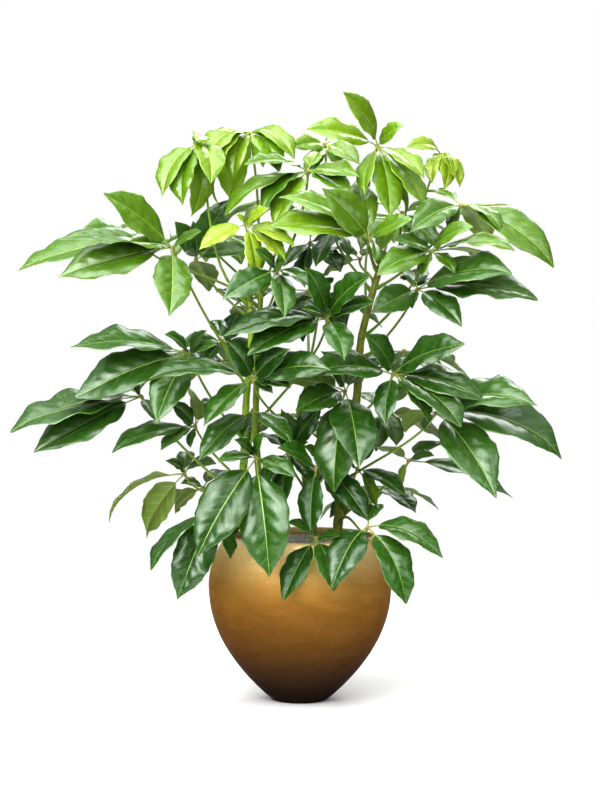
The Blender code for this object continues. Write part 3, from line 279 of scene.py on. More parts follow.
    Leaf("back_middle", "middle", 84.0, (2.0, 103.0, 32), 23, Tone.DARK, (), (), 5),
    Leaf("back_right", "right", 80.0, (26.0, 88.0, 24), 21, Tone.DARK, (), (), 5),
    Leaf("back_left", "left_back", 82.0, (-29.0, 88.0, 25), 23, Tone.DARK, (), (), 5),
    Leaf("back_low_middle", "middle", 60.0, (-3.0, 72.0, 32), 23, Tone.DARK, (), (), 5),
    Leaf("back_low_right", "right", 52.0, (18.0, 54.0, 27), 20, Tone.DARK, (), (), 5),
)

# Leaves whose blades get another green than the tone that they are packed with. The first two sets get
# another green, lighter or darker than their own; the last set gets painted shade, a darker and less glossy
# green for leaves that sit in shade behind, inside and low in the plant.
LOOKS = {
    **dict.fromkeys(("upper_far_right", "left_big", "upper_right"), Tone.SPRING),
    **dict.fromkeys(("upper_front", "centre_small", "left_reach", "left_middle", "left_behind", "left_inner",
                     "right_upper", "right_reach", "right_low"), Tone.FRESH),
    **dict.fromkeys(("back_right", "back_left", "back_middle", "back_low_middle", "back_low_right",
                     "behind_left_stem", "inner_middle", "low_between_stems", "rim_middle",
                     "front_low_middle", "front_right_broad", "front_right_small", "rim_left_small"),
                    Tone.PAINTED_SHADE),
}


def from_front(across: float, up: float, depth: float) -> Vector:
    """Find the place of a point that the eye in front sees at (across, up) in the axis plane.

    Args:
        across: Centimetres to the right in the upright plane through the pot's axis.
        up: Centimetres above the floor in that plane.
        depth: Centimetres behind that plane.

    Returns:
        The point in metres.
    """
    spread = 1.0 + depth / EYE_DISTANCE
    return Vector((across * spread, depth, EYE_HEIGHT + (up - EYE_HEIGHT) * spread)) * CM


def square_to(direction: Vector, hint: Vector) -> Vector:
    """Return the unit vector nearest to hint that is square to direction."""
    return (hint - direction * hint.dot(direction)).normalized()


def circle(sides: int) -> list[tuple[float, float]]:
    """Return the cosine and sine of evenly spaced turns round a circle."""
    angles = [2 * math.pi * k / sides for k in range(sides)]
    return [(math.cos(angle), math.sin(angle)) for angle in angles]


def smooth_table(table: tuple, x: float) -> float:
    """Read a table of (place, value) rows with a smooth curve through them.

    Args:
        table: Rows with rising places.
        x: The place to read.

    Returns:
        The value there.
    """
    if x <= table[0][0]:
        return table[0][1]
    for k in range(len(table) - 1):
        if x <= table[k + 1][0]:
            break
    else:
        return table[-1][1]
    (x1, y1), (x2, y2) = table[k], table[k + 1]
    x0, y0 = table[max(k - 1, 0)]
    x3, y3 = table[min(k + 2, len(table) - 1)]
    width = x2 - x1
    slope_1 = (y2 - y0) / (x2 - x0) * width
    slope_2 = (y3 - y1) / (x3 - x1) * width
    t = (x - x1) / width
    return ((2 * t ** 3 - 3 * t * t + 1) * y1 + (t ** 3 - 2 * t * t + t) * slope_1
            + (3 * t * t - 2 * t ** 3) * y2 + (t ** 3 - t * t) * slope_2)


class Draft:
    """A mesh in the making, with two sets of surface coordinates and a tint for each point."""

    def __init__(self) -> None:
        """Start with nothing."""
        self.points: list[Vector] = []
        self.surface: list[tuple[float, float]] = []
        self.span: list[tuple[float, float]] = []
        self.tints: list[tuple[float, float, float, float]] = []
        self.faces: list[tuple[int, ...]] = []
        self.slots: list[int] = []

    def add_point(self, place: Vector, surface: tuple = (0.0, 0.0), span: tuple = (0.0, 0.0),
                  tint: tuple = PLAIN_TINT) -> int:
        """Add a point.

        Args:
            place: Where it is.
            surface: Its first surface coordinates.
            span: Its second surface coordinates.
            tint: Its tint.

        Returns:
            Its number.
        """
        self.points.append(place)
        self.surface.append(surface)
        self.span.append(span)
        self.tints.append(tint)
        return len(self.points) - 1

    def add_face(self, corners: tuple[int, ...], slot: int = 0) -> None:
        """Add a face in a material slot."""
        self.faces.append(corners)
        self.slots.append(slot)

    def skin_rings(self, rings: list[list[int]], slots: list[int]) -> None:
        """Skin a closed body over rings of point numbers, with a flat face at each end.

        Args:
            rings: Rings in order, each going round anticlockwise as seen from beyond the last one.
            slots: The material slot of each column of faces.
        """
        count = len(rings[0])
        for low, high in zip(rings, rings[1:]):
            for j in range(count):
                after = (j + 1) % count
                self.add_face((low[j], low[after], high[after], high[j]), slots[j])
        self.add_face(tuple(reversed(rings[0])), slots[0])
        self.add_face(tuple(rings[-1]), slots[0])

    def tube(self, centres: list[Vector], radii: list[float], sides: int, hint: Vector, slot: int,
             tint: tuple = PLAIN_TINT) -> None:
        """Add a closed tube along a path, its surface coordinates running round and along it.

        Args:
            centres: Points of the path.
            radii: The radius at each.
            sides: Points in a ring.
            hint: A direction that the path is never along, to keep the rings from twisting.
            slot: The material slot.
            tint: The tint of all its points.
        """
        rings = []
        total = sum((b - a).length for a, b in zip(centres, centres[1:]))
        gone = 0.0
        for k, centre in enumerate(centres):
            if k:
                gone += (centre - centres[k - 1]).length
            ahead = (centres[min(k + 1, len(centres) - 1)] - centres[max(k - 1, 0)]).normalized()
            first = square_to(ahead, hint)
            second = ahead.cross(first)
            ring = []
            for j, (cosine, sine) in enumerate(circle(sides)):
                place = centre + (first * cosine + second * sine) * radii[k]
                ring.append(self.add_point(place, (j / sides, gone / total), (j / sides, gone), tint))
            rings.append(ring)
        self.skin_rings(rings, [slot] * sides)

    def finish(self, name: str, materials: list[bpy.types.Material], smooth: bool = True) -> bpy.types.Object:
        """Turn the draft into an object.

        Args:
            name: The object's name.
            materials: Its material slots in order.
            smooth: Whether its faces are shaded smooth.

        Returns:
            The object, linked to the scene.
        """
        mesh = bpy.data.meshes.new(name)
        mesh.from_pydata([tuple(place) for place in self.points], [], self.faces)
        corners = [loop.vertex_index for loop in mesh.loops]
        for layer_name, values in (("surface", self.surface), ("span", self.span)):
            layer = mesh.uv_layers.new(name=layer_name)
            layer.data.foreach_set("uv", [part for corner in corners for part in values[corner]])
        tints = mesh.color_attributes.new("tint", "FLOAT_COLOR", "POINT")
        tints.data.foreach_set("color", [part for tint in self.tints for part in tint])
        mesh.polygons.foreach_set("material_index", self.slots)
        mesh.polygons.foreach_set("use_smooth", [smooth] * len(self.faces))
        for material in materials:
            mesh.materials.append(material)
        mesh.update()
        piece = bpy.data.objects.new(name, mesh)
        bpy.context.scene.collection.objects.link(piece)
        return piece


class Graph:
    """Short ways of adding nodes to a shader tree."""

    def __init__(self, tree: bpy.types.NodeTree) -> None:
        """Write into a tree."""
        self.tree = tree

    def node(self, kind: str, inputs: dict | None = None, **settings: object) -> bpy.types.Node:
        """Add a node.

        Args:
            kind: The node's type.
            inputs: Values or sockets for its inputs, by name or number.
            settings: Its own settings.

        Returns:
            The node.
        """
        node = self.tree.nodes.new(kind)
        for key, setting in settings.items():
            setattr(node, key, setting)
        for key, value in (inputs or {}).items():
            self.feed(node.inputs[key], value)
        return node

    def feed(self, socket: bpy.types.NodeSocket, value: Value) -> None:
        """Link a socket to another one, or set its value.

        Args:
            socket: The socket that is fed.
            value: The other socket, or a plain value.
        """
        if isinstance(value, bpy.types.NodeSocket):
            self.tree.links.new(value, socket)
        elif socket.type == "RGBA" and len(value) == 3:
            socket.default_value = (*value, 1.0)
        else:
            socket.default_value = value

    def math(self, operation: str, a: Value, b: Value = 0.0) -> bpy.types.NodeSocket:
        """Add a calculation on two numbers and return its result."""
        return self.node("ShaderNodeMath", {0: a, 1: b}, operation=operation).outputs[0]

    def times(self, a: Value, b: Value) -> bpy.types.NodeSocket:
        """Add a multiplication and return its result."""
        return self.math("MULTIPLY", a, b)

    def plus(self, a: Value, b: Value) -> bpy.types.NodeSocket:
        """Add an addition and return its result."""
        return self.math("ADD", a, b)

    def minus(self, a: Value, b: Value) -> bpy.types.NodeSocket:
        """Add a subtraction and return its result."""
        return self.math("SUBTRACT", a, b)

    def times_plus(self, a: Value, b: Value, c: Value) -> bpy.types.NodeSocket:
        """Add a calculation of a times b, plus c, and return its result."""
        return self.node("ShaderNodeMath", {0: a, 1: b, 2: c}, operation="MULTIPLY_ADD").outputs[0]

    def off_middle(self, share: Value) -> bpy.types.NodeSocket:
        """Return how far a share is from its middle: 0 there and 1 at either end."""
        return self.math("ABSOLUTE", self.times(self.minus(share, 0.5), 2.0))

    def step(self, value: Value, low: float, high: float, out_low: float = 0.0,
             out_high: float = 1.0) -> bpy.types.NodeSocket:
        """Add a smooth step from out_low to out_high while value goes from low to high."""
        node = self.node("ShaderNodeMapRange", {"Value": value, "From Min": low, "From Max": high,
                                                "To Min": out_low, "To Max": out_high},
                         interpolation_type="SMOOTHSTEP")
        return node.outputs["Result"]

    def noise(self, vector: Value, scale: Value, detail: float = 3.0, roughness: float = 0.5,
              stretch: float = 0.0) -> bpy.types.NodeSocket:
        """Add a noise texture and return its strength."""
        node = self.node("ShaderNodeTexNoise", {"Vector": vector, "Scale": scale, "Detail": detail,
                                                "Roughness": roughness, "Distortion": stretch})
        return node.outputs["Fac"]

    def mix(self, factor: Value, a: Value, b: Value, blend: str = "MIX") -> bpy.types.NodeSocket:
        """Add a mix of two colours.

        Args:
            factor: The share of the second one.
            a: The first colour.
            b: The second colour.
            blend: How the second one is laid on the first.

        Returns:
            The mixed colour.
        """
        node = self.node("ShaderNodeMix", data_type="RGBA", blend_type=blend)
        self.feed(node.inputs[0], factor)
        self.feed(node.inputs[6], a)
        self.feed(node.inputs[7], b)
        return node.outputs[2]

    def overlay(self, base: Value, layers: tuple, blend: str = "MIX") -> bpy.types.NodeSocket:
        """Lay colours over a base, one after another.

        Args:
            base: The colour at the bottom.
            layers: A (mask, strength, colour) for each layer.
            blend: How each is laid on.

        Returns:
            The colour on top.
        """
        for mask, strength, color in layers:
            base = self.mix(self.times(mask, strength), base, color, blend)
        return base

    def ramp(self, factor: Value, stops: tuple) -> bpy.types.NodeSocket:
        """Add a smooth colour ramp.

        Args:
            factor: The place on it.
            stops: Its stops in order, as (place, colour).

        Returns:
            Its colour.
        """
        node = self.node("ShaderNodeValToRGB", {"Fac": factor})
        node.color_ramp.interpolation = "B_SPLINE"
        elements = node.color_ramp.elements
        for k, (place, color) in enumerate(stops):
            element = elements[k] if k < 2 else elements.new(place)
            element.position = place
            element.color = (*color, 1.0)
        return node.outputs["Color"]

    def place(self) -> bpy.types.NodeSocket:
        """Return the place on the object, in metres."""
        return self.node("ShaderNodeTexCoord").outputs["Object"]

    def layer(self, name: str) -> bpy.types.NodeSocket:
        """Return one of the mesh's two sets of surface coordinates."""
        return self.node("ShaderNodeUVMap", uv_map=name).outputs["UV"]

    def axes(self, vector: Value) -> list[bpy.types.NodeSocket]:
        """Return a vector's three numbers."""
        return list(self.node("ShaderNodeSeparateXYZ", {0: vector}).outputs)

    def tint(self) -> list[bpy.types.NodeSocket]:
        """Return the three numbers of the mesh's own tint."""
        tint = self.node("ShaderNodeAttribute", attribute_name="tint").outputs["Color"]
        return list(self.node("ShaderNodeSeparateColor", {0: tint}).outputs)


class Effects:
    """Shader node groups that several finishes share."""

    def __init__(self) -> None:
        """Build every group once."""
        self.leaf_pattern = self.build_leaf_pattern()
        self.clouds = self.build_clouds()

    @staticmethod
    def new_group(name: str, inputs: tuple, outputs: tuple[str, ...]) -> tuple:
        """Make an empty group.

        Args:
            name: The group's name.
            inputs: The name of each vector input, or (name, value) of each number.
            outputs: The name of each number that it gives.

        Returns:
            The group's tree, a Graph to write into it, its input node and its output node.
        """
        tree = bpy.data.node_groups.new(name, "ShaderNodeTree")
        for entry in inputs:
            if isinstance(entry, str):
                tree.interface.new_socket(entry, in_out="INPUT", socket_type="NodeSocketVector")
            else:
                socket = tree.interface.new_socket(entry[0], in_out="INPUT", socket_type="NodeSocketFloat")
                socket.default_value = entry[1]
        for socket_name in outputs:
            tree.interface.new_socket(socket_name, in_out="OUTPUT", socket_type="NodeSocketFloat")
        graph = Graph(tree)
        return tree, graph, graph.node("NodeGroupInput"), graph.node("NodeGroupOutput")

    def build_leaf_pattern(self) -> bpy.types.NodeTree:
        """Build the midrib, side veins, pale margin and quilted relief of a leaf blade.

        Returns:
            A group that reads the blade's surface and span coordinates and its place.
        """
        tree, graph, source, result = self.new_group(
            "leaf_pattern", ("Surface", "Span", "Place"), ("Midrib", "Veins", "Margin", "Relief"))
        over, along, _ = graph.axes(source.outputs["Surface"])
        reach = graph.axes(source.outputs["Span"])[0]
        across = graph.off_middle(reach)
        edge = graph.off_middle(over)

        rib_width = graph.times_plus(along, -0.028, 0.038)
        midrib = graph.step(graph.math("DIVIDE", across, rib_width), 0.5, 1.2, 1.0, 0.0)

        bend = graph.times(graph.times(across, across), 0.12)
        lean = graph.times_plus(across, VEIN_LEAN, bend)
        wander = graph.minus(graph.noise(source.outputs["Place"], 22.0, 1.0), 0.5)
        phase = graph.times(graph.minus(along, lean), VEIN_PAIRS)
        phase = graph.plus(phase, graph.times(graph.math("GREATER_THAN", reach, 0.5), VEIN_STAGGER))
        phase = graph.plus(phase, graph.times(wander, 0.35))
        apart = graph.math("ABSOLUTE", graph.minus(graph.math("FRACT", phase), 0.5))
        veins = graph.times(graph.step(apart, 0.015, 0.065, 1.0, 0.0), graph.step(across, 0.80, 0.15))

        margin = graph.step(edge, 0.95, 1.0)
        quilt = graph.times(graph.step(apart, 0.0, 0.5), graph.step(edge, 1.0, 0.35))
        quilt = graph.times(quilt, graph.step(across, 0.0, 0.22))
        relief = graph.minus(quilt, graph.times(midrib, 0.5))
        relief = graph.times(relief, graph.step(along, 1.0, 0.72))
        for name, value in (("Midrib", midrib), ("Veins", veins), ("Margin", margin), ("Relief", relief)):
            graph.feed(result.inputs[name], value)
        return tree

    def build_clouds(self) -> bpy.types.NodeTree:
        """Build soft uneven patches with a finer speckle over them.

        Returns:
            A group that reads a place and gives two masks.
        """
        tree, graph, source, result = self.new_group(
            "clouds", ("Place", ("Scale", 10.0), ("Speckle Scale", 300.0)), ("Patches", "Speckle"))
        patches = graph.noise(source.outputs["Place"], source.outputs["Scale"], 4.0, 0.6, 0.4)
        speckle = graph.noise(source.outputs["Place"], source.outputs["Speckle Scale"], 2.0, 0.7)
        graph.feed(result.inputs["Patches"], graph.step(patches, 0.30, 0.72))
        graph.feed(result.inputs["Speckle"], graph.step(speckle, 0.35, 0.75))
        return tree

    def add_clouds(self, graph: Graph, place: Value, scale: float, speckle_scale: float) -> tuple:
        """Put the clouds into a material.

        Args:
            graph: The material's graph.
            place: Where they are read.
            scale: Patches in a metre.
            speckle_scale: Speckles in a metre.

        Returns:
            Its patches and its speckle, each a mask.
        """
        clouds = graph.node("ShaderNodeGroup", {"Place": place, "Scale": scale,
                                                "Speckle Scale": speckle_scale}, node_tree=self.clouds)
        return clouds.outputs["Patches"], clouds.outputs["Speckle"]


def new_material(name: str) -> tuple:
    """Make a material with one Principled shader.

    Args:
        name: The material's name.

    Returns:
        The material, a Graph to write into it and its shader node.
    """
    material = bpy.data.materials.new(name)
    material.use_nodes = True
    return material, Graph(material.node_tree), material.node_tree.nodes["Principled BSDF"]


def dress(graph: Graph, shader: bpy.types.Node, color: Value, roughness: Value, height: Value,
          relief: float) -> None:
    """Give a shader its colour, roughness and relief.

    Args:
        graph: The material's graph.
        shader: Its shader.
        color: The base colour.
        roughness: The roughness.
        height: A height from 0 to 1.
        relief: How many metres that stands for.
    """
    graph.feed(shader.inputs["Base Color"], color)
    graph.feed(shader.inputs["Roughness"], roughness)
    bump = graph.node("ShaderNodeBump", {"Height": height, "Distance": relief, "Strength": 1.0})
    graph.feed(shader.inputs["Normal"], bump.outputs["Normal"])


def scaled(color: Color, share: float) -> Color:
    """Return a colour made darker by a share."""
    return tuple(share * part for part in color)


@dataclass(frozen=True)
class BladeFinish:
    """The skin of one side of a leaf blade.

    Its green lies between deep and bright, by the blade's own tint and by soft patches. glow is the share
    of light that goes on inside the blade, and quilt the height of its relief in metres.
    """

    name: str
    deep: Color
    bright: Color
    vein: Color
    margin: Color
    roughness: float
    vein_share: float = 0.35
    gloss: float = 0.85
    glow: float = 0.30
    gloss_tint: Color = (0.92, 1.0, 0.92)
    glow_color: Color = (0.5, 1.0, 0.1)
    glow_depth: float = 0.002
    quilt: float = 0.0008
    patch_scale: float = 22.0
    speckle_scale: float = 420.0
    patch_share: float = 0.20
    midrib_share: float = 0.9
    margin_share: float = 0.55

    def material(self, effects: Effects) -> bpy.types.Material:
        """Make the material.

        Args:
            effects: The shared groups.

        Returns:
            The material.
        """
        material, graph, shader = new_material(self.name)
        place = graph.place()
        pattern = graph.node("ShaderNodeGroup", {"Surface": graph.layer("surface"), "Place": place,
                                                 "Span": graph.layer("span")},
                             node_tree=effects.leaf_pattern)
        own_shade, _, size = graph.tint()
        patches, speckle = effects.add_clouds(graph, place, self.patch_scale, self.speckle_scale)
        shade = graph.times_plus(patches, self.patch_share, graph.times(own_shade, 1.0 - self.patch_share))
        color = graph.overlay(graph.mix(shade, self.deep, self.bright), (
            (pattern.outputs["Veins"], self.vein_share, self.vein),
            (pattern.outputs["Midrib"], self.midrib_share, self.vein),
            (pattern.outputs["Margin"], self.margin_share, self.margin)))
        rough = graph.times_plus(patches, 0.05, self.roughness - 0.07)
        rough = graph.times_plus(speckle, 0.10, rough)
        height = graph.times(pattern.outputs["Relief"], size)
        height = graph.plus(height, graph.times(speckle, 0.06))
        # Seen along its face, a blade's relief is finer than a pixel, so it fades out there.
        facing = graph.node("ShaderNodeLayerWeight").outputs["Facing"]
        height = graph.times(height, graph.step(facing, 0.90, 0.50))
        dress(graph, shader, color, rough, height, self.quilt)
        shader.inputs["Specular Tint"].default_value = (*self.gloss_tint, 1.0)
        shader.inputs["Specular IOR Level"].default_value = self.gloss
        shader.inputs["Subsurface Weight"].default_value = self.glow
        shader.inputs["Subsurface Radius"].default_value = self.glow_color
        shader.inputs["Subsurface Scale"].default_value = self.glow_depth
        return material


@dataclass(frozen=True)
class StalkFinish:
    """The skin of a petiole, a hub or a leaflet's stalk, blushed towards one end."""

    name: str
    low: Color
    high: Color
    blush_from: float
    blush_to: float
    blush: Color = (0.40, 0.25, 0.12)
    blush_share: float = 0.75
    patch_scale: float = 60.0
    speckle_scale: float = 900.0
    patch_share: float = 0.35
    patch_depth: float = 0.65
    relief: float = 0.0006

    def material(self, effects: Effects) -> bpy.types.Material:
        """Make the material.

        Args:
            effects: The shared groups.

        Returns:
            The material.
        """
        material, graph, shader = new_material(self.name)
        along = graph.axes(graph.layer("surface"))[1]
        patches, speckle = effects.add_clouds(graph, graph.place(), self.patch_scale, self.speckle_scale)
        color = graph.overlay(graph.mix(along, self.low, self.high), (
            (patches, self.patch_share, scaled(self.low, self.patch_depth)),))
        blushed = graph.step(along, self.blush_from, self.blush_to, 0.0, self.blush_share)
        color = graph.mix(blushed, color, self.blush)
        dress(graph, shader, color, graph.step(speckle, 0.0, 1.0, 0.32, 0.50), patches, self.relief)
        return material


# The blades of each tone: the upper side, then the underside
BLADES = {
    Tone.NEWEST: (
        BladeFinish("blade_top_newest", (0.20, 0.31, 0.008), (0.29, 0.39, 0.02), (0.46, 0.56, 0.11),
                    (0.44, 0.55, 0.09), 0.32, 0.20, glow=0.6),
        BladeFinish("blade_under_newest", (0.36, 0.47, 0.01), (0.48, 0.56, 0.04), (0.60, 0.68, 0.18),
                    (0.60, 0.68, 0.18), 0.45, 0.4, glow=0.6)),
    Tone.NEW: (
        BladeFinish("blade_top_new", (0.12, 0.25, 0.003), (0.19, 0.30, 0.008), (0.40, 0.53, 0.10),
                    (0.36, 0.49, 0.08), 0.29, 0.18, gloss=1.0, glow=0.6),
        BladeFinish("blade_under_new", (0.27, 0.44, 0.006), (0.42, 0.56, 0.02), (0.50, 0.62, 0.1),
                    (0.50, 0.62, 0.1), 0.45, 0.40, glow=0.6)),
    Tone.MID: (
        BladeFinish("blade_top_mid", (0.040, 0.135, 0.002), (0.17, 0.29, 0.007), (0.34, 0.50, 0.08),
                    (0.30, 0.44, 0.08), 0.31, 0.18, gloss=1.0, glow=0.45),
        BladeFinish("blade_under_mid", (0.14, 0.26, 0.02), (0.26, 0.40, 0.04), (0.36, 0.48, 0.12),
                    (0.36, 0.48, 0.12), 0.48, 0.45)),
    Tone.SPRING: (
        BladeFinish("blade_top_spring", (0.028, 0.100, 0.003), (0.110, 0.220, 0.008), (0.32, 0.47, 0.08),
                    (0.27, 0.40, 0.08), 0.31, 0.18, gloss=1.0, glow=0.40),
        BladeFinish("blade_under_spring", (0.18, 0.26, 0.01), (0.30, 0.38, 0.03), (0.42, 0.52, 0.10),
                    (0.40, 0.50, 0.10), 0.50, 0.40, glow=0.40)),
    Tone.FRESH: (
        BladeFinish("blade_top_fresh", (0.018, 0.075, 0.005), (0.050, 0.138, 0.012), (0.27, 0.42, 0.07),
                    (0.20, 0.31, 0.08), 0.31, 0.22, gloss=1.0),
        BladeFinish("blade_under_fresh", (0.10, 0.17, 0.01), (0.19, 0.28, 0.03), (0.32, 0.42, 0.10),
                    (0.32, 0.42, 0.10), 0.50, 0.45)),
    Tone.DARK: (
        BladeFinish("blade_top_dark", (0.008, 0.050, 0.001), (0.030, 0.108, 0.002), (0.25, 0.40, 0.06),
                    (0.16, 0.27, 0.05), 0.30, 0.24, gloss=0.95),
        BladeFinish("blade_under_dark", (0.07, 0.135, 0.006), (0.15, 0.24, 0.018), (0.26, 0.36, 0.08),
                    (0.26, 0.36, 0.08), 0.50, 0.45)),
    # Painted shade: a darker, less glossy copy of the dark blades for leaves that sit in shade.
    Tone.PAINTED_SHADE: (
        BladeFinish("blade_top_painted_shade", (0.007, 0.045, 0.001), (0.026, 0.095, 0.002), (0.20, 0.33, 0.04),
                    (0.12, 0.22, 0.03), 0.32, 0.22, gloss=0.45),
        BladeFinish("blade_under_painted_shade", (0.05, 0.12, 0.004), (0.12, 0.21, 0.012), (0.24, 0.34, 0.06),
                    (0.24, 0.34, 0.06), 0.52, 0.45, gloss=0.40)),
    Tone.OLIVE: (
        BladeFinish("blade_top_olive", (0.03, 0.09, 0.003), (0.08, 0.18, 0.01), (0.27, 0.42, 0.06),
                    (0.20, 0.32, 0.07), 0.38, 0.28),
        BladeFinish("blade_under_olive", (0.15, 0.23, 0.035), (0.26, 0.34, 0.08), (0.42, 0.50, 0.18),
                    (0.42, 0.50, 0.18), 0.52, 0.5)),
}


def leaf_materials(tone: Tone, effects: Effects) -> list[bpy.types.Material]:
    """Make a leaf's materials.

    Args:
        tone: The leaf's tone.
        effects: The shared groups.

    Returns:
        The materials in the order of the leaf's slots: top, under, petiole, stalk.
    """
    top, under = BLADES[tone]
    young = tone in (Tone.NEWEST, Tone.NEW)
    high = (0.28, 0.42, 0.03) if young else (0.23, 0.35, 0.03)
    petiole = StalkFinish("petiole_" + tone.value, (0.14, 0.25, 0.015), high, 0.90, 1.0)
    stalk = StalkFinish("stalk_" + tone.value, top.vein, top.vein, 0.45, 0.0)
    return [finish.material(effects) for finish in (top, under, petiole, stalk)]


@dataclass(frozen=True)
class BarkFinish:
    """The skin of a stem, from smooth green to half woody with scars where old leaves were."""

    name: str
    woody: float
    brown: Color = (0.21, 0.185, 0.045)
    spot: Color = (0.42, 0.40, 0.22)
    patch_scale: float = 26.0
    speckle_scale: float = 500.0
    scars_per_metre: float = 26.0
    scar_wander: float = 0.9
    scar_share: float = 0.75
    scar_depth: float = 0.55
    spot_share: float = 0.5
    relief: float = 0.0008

    def material(self, effects: Effects) -> bpy.types.Material:
        """Make the material.

        Args:
            effects: The shared groups.

        Returns:
            The material.
        """
        green = (0.30 - 0.04 * self.woody, 0.47 - 0.24 * self.woody, 0.025)
        shade = (0.18, 0.30 - 0.12 * self.woody, 0.015)
        material, graph, shader = new_material(self.name)
        place = graph.place()
        patches, speckle = effects.add_clouds(graph, place, self.patch_scale, self.speckle_scale)
        wander = graph.times(graph.noise(place, 40.0, 2.0), self.scar_wander)
        metres = graph.axes(graph.layer("span"))[1]
        rings = graph.math("FRACT", graph.plus(graph.times(metres, self.scars_per_metre), wander))
        ring = graph.step(graph.math("ABSOLUTE", graph.minus(rings, 0.5)), 0.03, 0.10, 1.0, 0.0)
        scars = graph.times(ring, graph.step(graph.noise(place, 55.0, 1.0), 0.42, 0.58))
        spots = graph.step(graph.noise(place, 210.0, 1.0), 0.66, 0.72)
        bare = graph.step(patches, 0.75 - 0.6 * self.woody, 1.2 - 0.6 * self.woody)
        color = graph.overlay(graph.mix(patches, shade, green), (
            (bare, 0.2 + 0.4 * self.woody, self.brown),
            (scars, self.scar_share, scaled(self.brown, self.scar_depth)),
            (spots, self.spot_share, self.spot)))
        raised = graph.plus(graph.times(speckle, 0.3), graph.minus(1.0, scars))
        dress(graph, shader, color, graph.step(bare, 0.0, 1.0, 0.40, 0.72), raised, self.relief)
        return material


@dataclass(frozen=True)
class LeafMetalFinish:
    """Satin bronze-gold coating whose colour runs from near-black brown at the foot to pale gold at the neck;
    the palest gold, on the shoulder and neck, is a painted highlight.
    """

    # Colours by height on the pot. The pale top stops are a painted highlight that stands for light reflected
    # off the shoulder and neck; the lower stops darken to near-black brown at the foot.
    stops: tuple = (
        (0.03, (0.013, 0.008, 0.007)), (0.15, (0.062, 0.033, 0.015)), (0.27, (0.102, 0.050, 0.017)),
        (0.39, (0.158, 0.075, 0.015)), (0.51, (0.198, 0.096, 0.018)), (0.63, (0.270, 0.135, 0.025)),
        (0.75, (0.500, 0.280, 0.066)), (0.86, (0.970, 0.655, 0.260)), (1.00, (1.000, 0.820, 0.480)))
    metallic: float = 0.8
    gloss_tint: Color = (0.42, 0.34, 0.31)
    flattening: tuple = (1.0, 1.0, 2.2)
    patch_scale: float = 19.0
    patch: Color = (0.60, 0.55, 0.50)
    patch_share: float = 0.30
    speckle_scale: float = 380.0
    speckle: Color = (0.30, 0.22, 0.14)
    speckle_share: float = 0.20
    stir_scale: float = 7.0
    stir_share: float = 0.07
    relief: float = 0.0004

    def material(self, effects: Effects) -> bpy.types.Material:
        """Make the material.

        Args:
            effects: The shared groups.

        Returns:
            The material.
        """
        material, graph, shader = new_material("bronze_gold_coating")
        place = graph.place()
        flat = graph.node("ShaderNodeVectorMath", {0: place, 1: self.flattening}, operation="MULTIPLY")
        flat = flat.outputs[0]
        patches, speckle = effects.add_clouds(graph, flat, self.patch_scale, self.speckle_scale)
        rise = graph.math("DIVIDE", graph.axes(place)[2], LIP_HEIGHT)
        stir = graph.times(graph.minus(graph.noise(flat, self.stir_scale, 2.0), 0.5), self.stir_share)
        # The height ramp carries the painted highlight near the neck.
        color = graph.overlay(graph.ramp(graph.plus(rise, stir), self.stops), (
            (patches, self.patch_share, self.patch), (speckle, self.speckle_share, self.speckle)), "MULTIPLY")
        rough = graph.plus(graph.step(patches, 0.0, 1.0, 0.45, 0.54), graph.times(speckle, 0.05))
        dress(graph, shader, color, rough, graph.plus(graph.times(speckle, 0.25), patches), self.relief)
        shader.inputs["Metallic"].default_value = self.metallic
        shader.inputs["Specular Tint"].default_value = (*self.gloss_tint, 1.0)
        return material


@dataclass(frozen=True)
class CrumbFinish:
    """Loose mineral or earthy crumbs."""

    name: str
    dark: Color
    pale: Color
    patch_scale: float
    roughness: float
    speckle_share: float = 0.4
    speckle_depth: float = 0.45
    relief: float = 0.0010

    def material(self, effects: Effects) -> bpy.types.Material:
        """Make the material.

        Args:
            effects: The shared groups.

        Returns:
            The material.
        """
        material, graph, shader = new_material(self.name)
        patches, speckle = effects.add_clouds(graph, graph.place(), self.patch_scale, 6.0 * self.patch_scale)
        share = graph.times_plus(patches, 0.4, graph.times(graph.tint()[0], 0.7))
        color = graph.overlay(graph.mix(share, self.dark, self.pale), (
            (speckle, self.speckle_share, scaled(self.dark, self.speckle_depth)),))
        rough = graph.step(speckle, 0.0, 1.0, self.roughness - 0.12, self.roughness)
        dress(graph, shader, color, rough, speckle, self.relief)
        return material



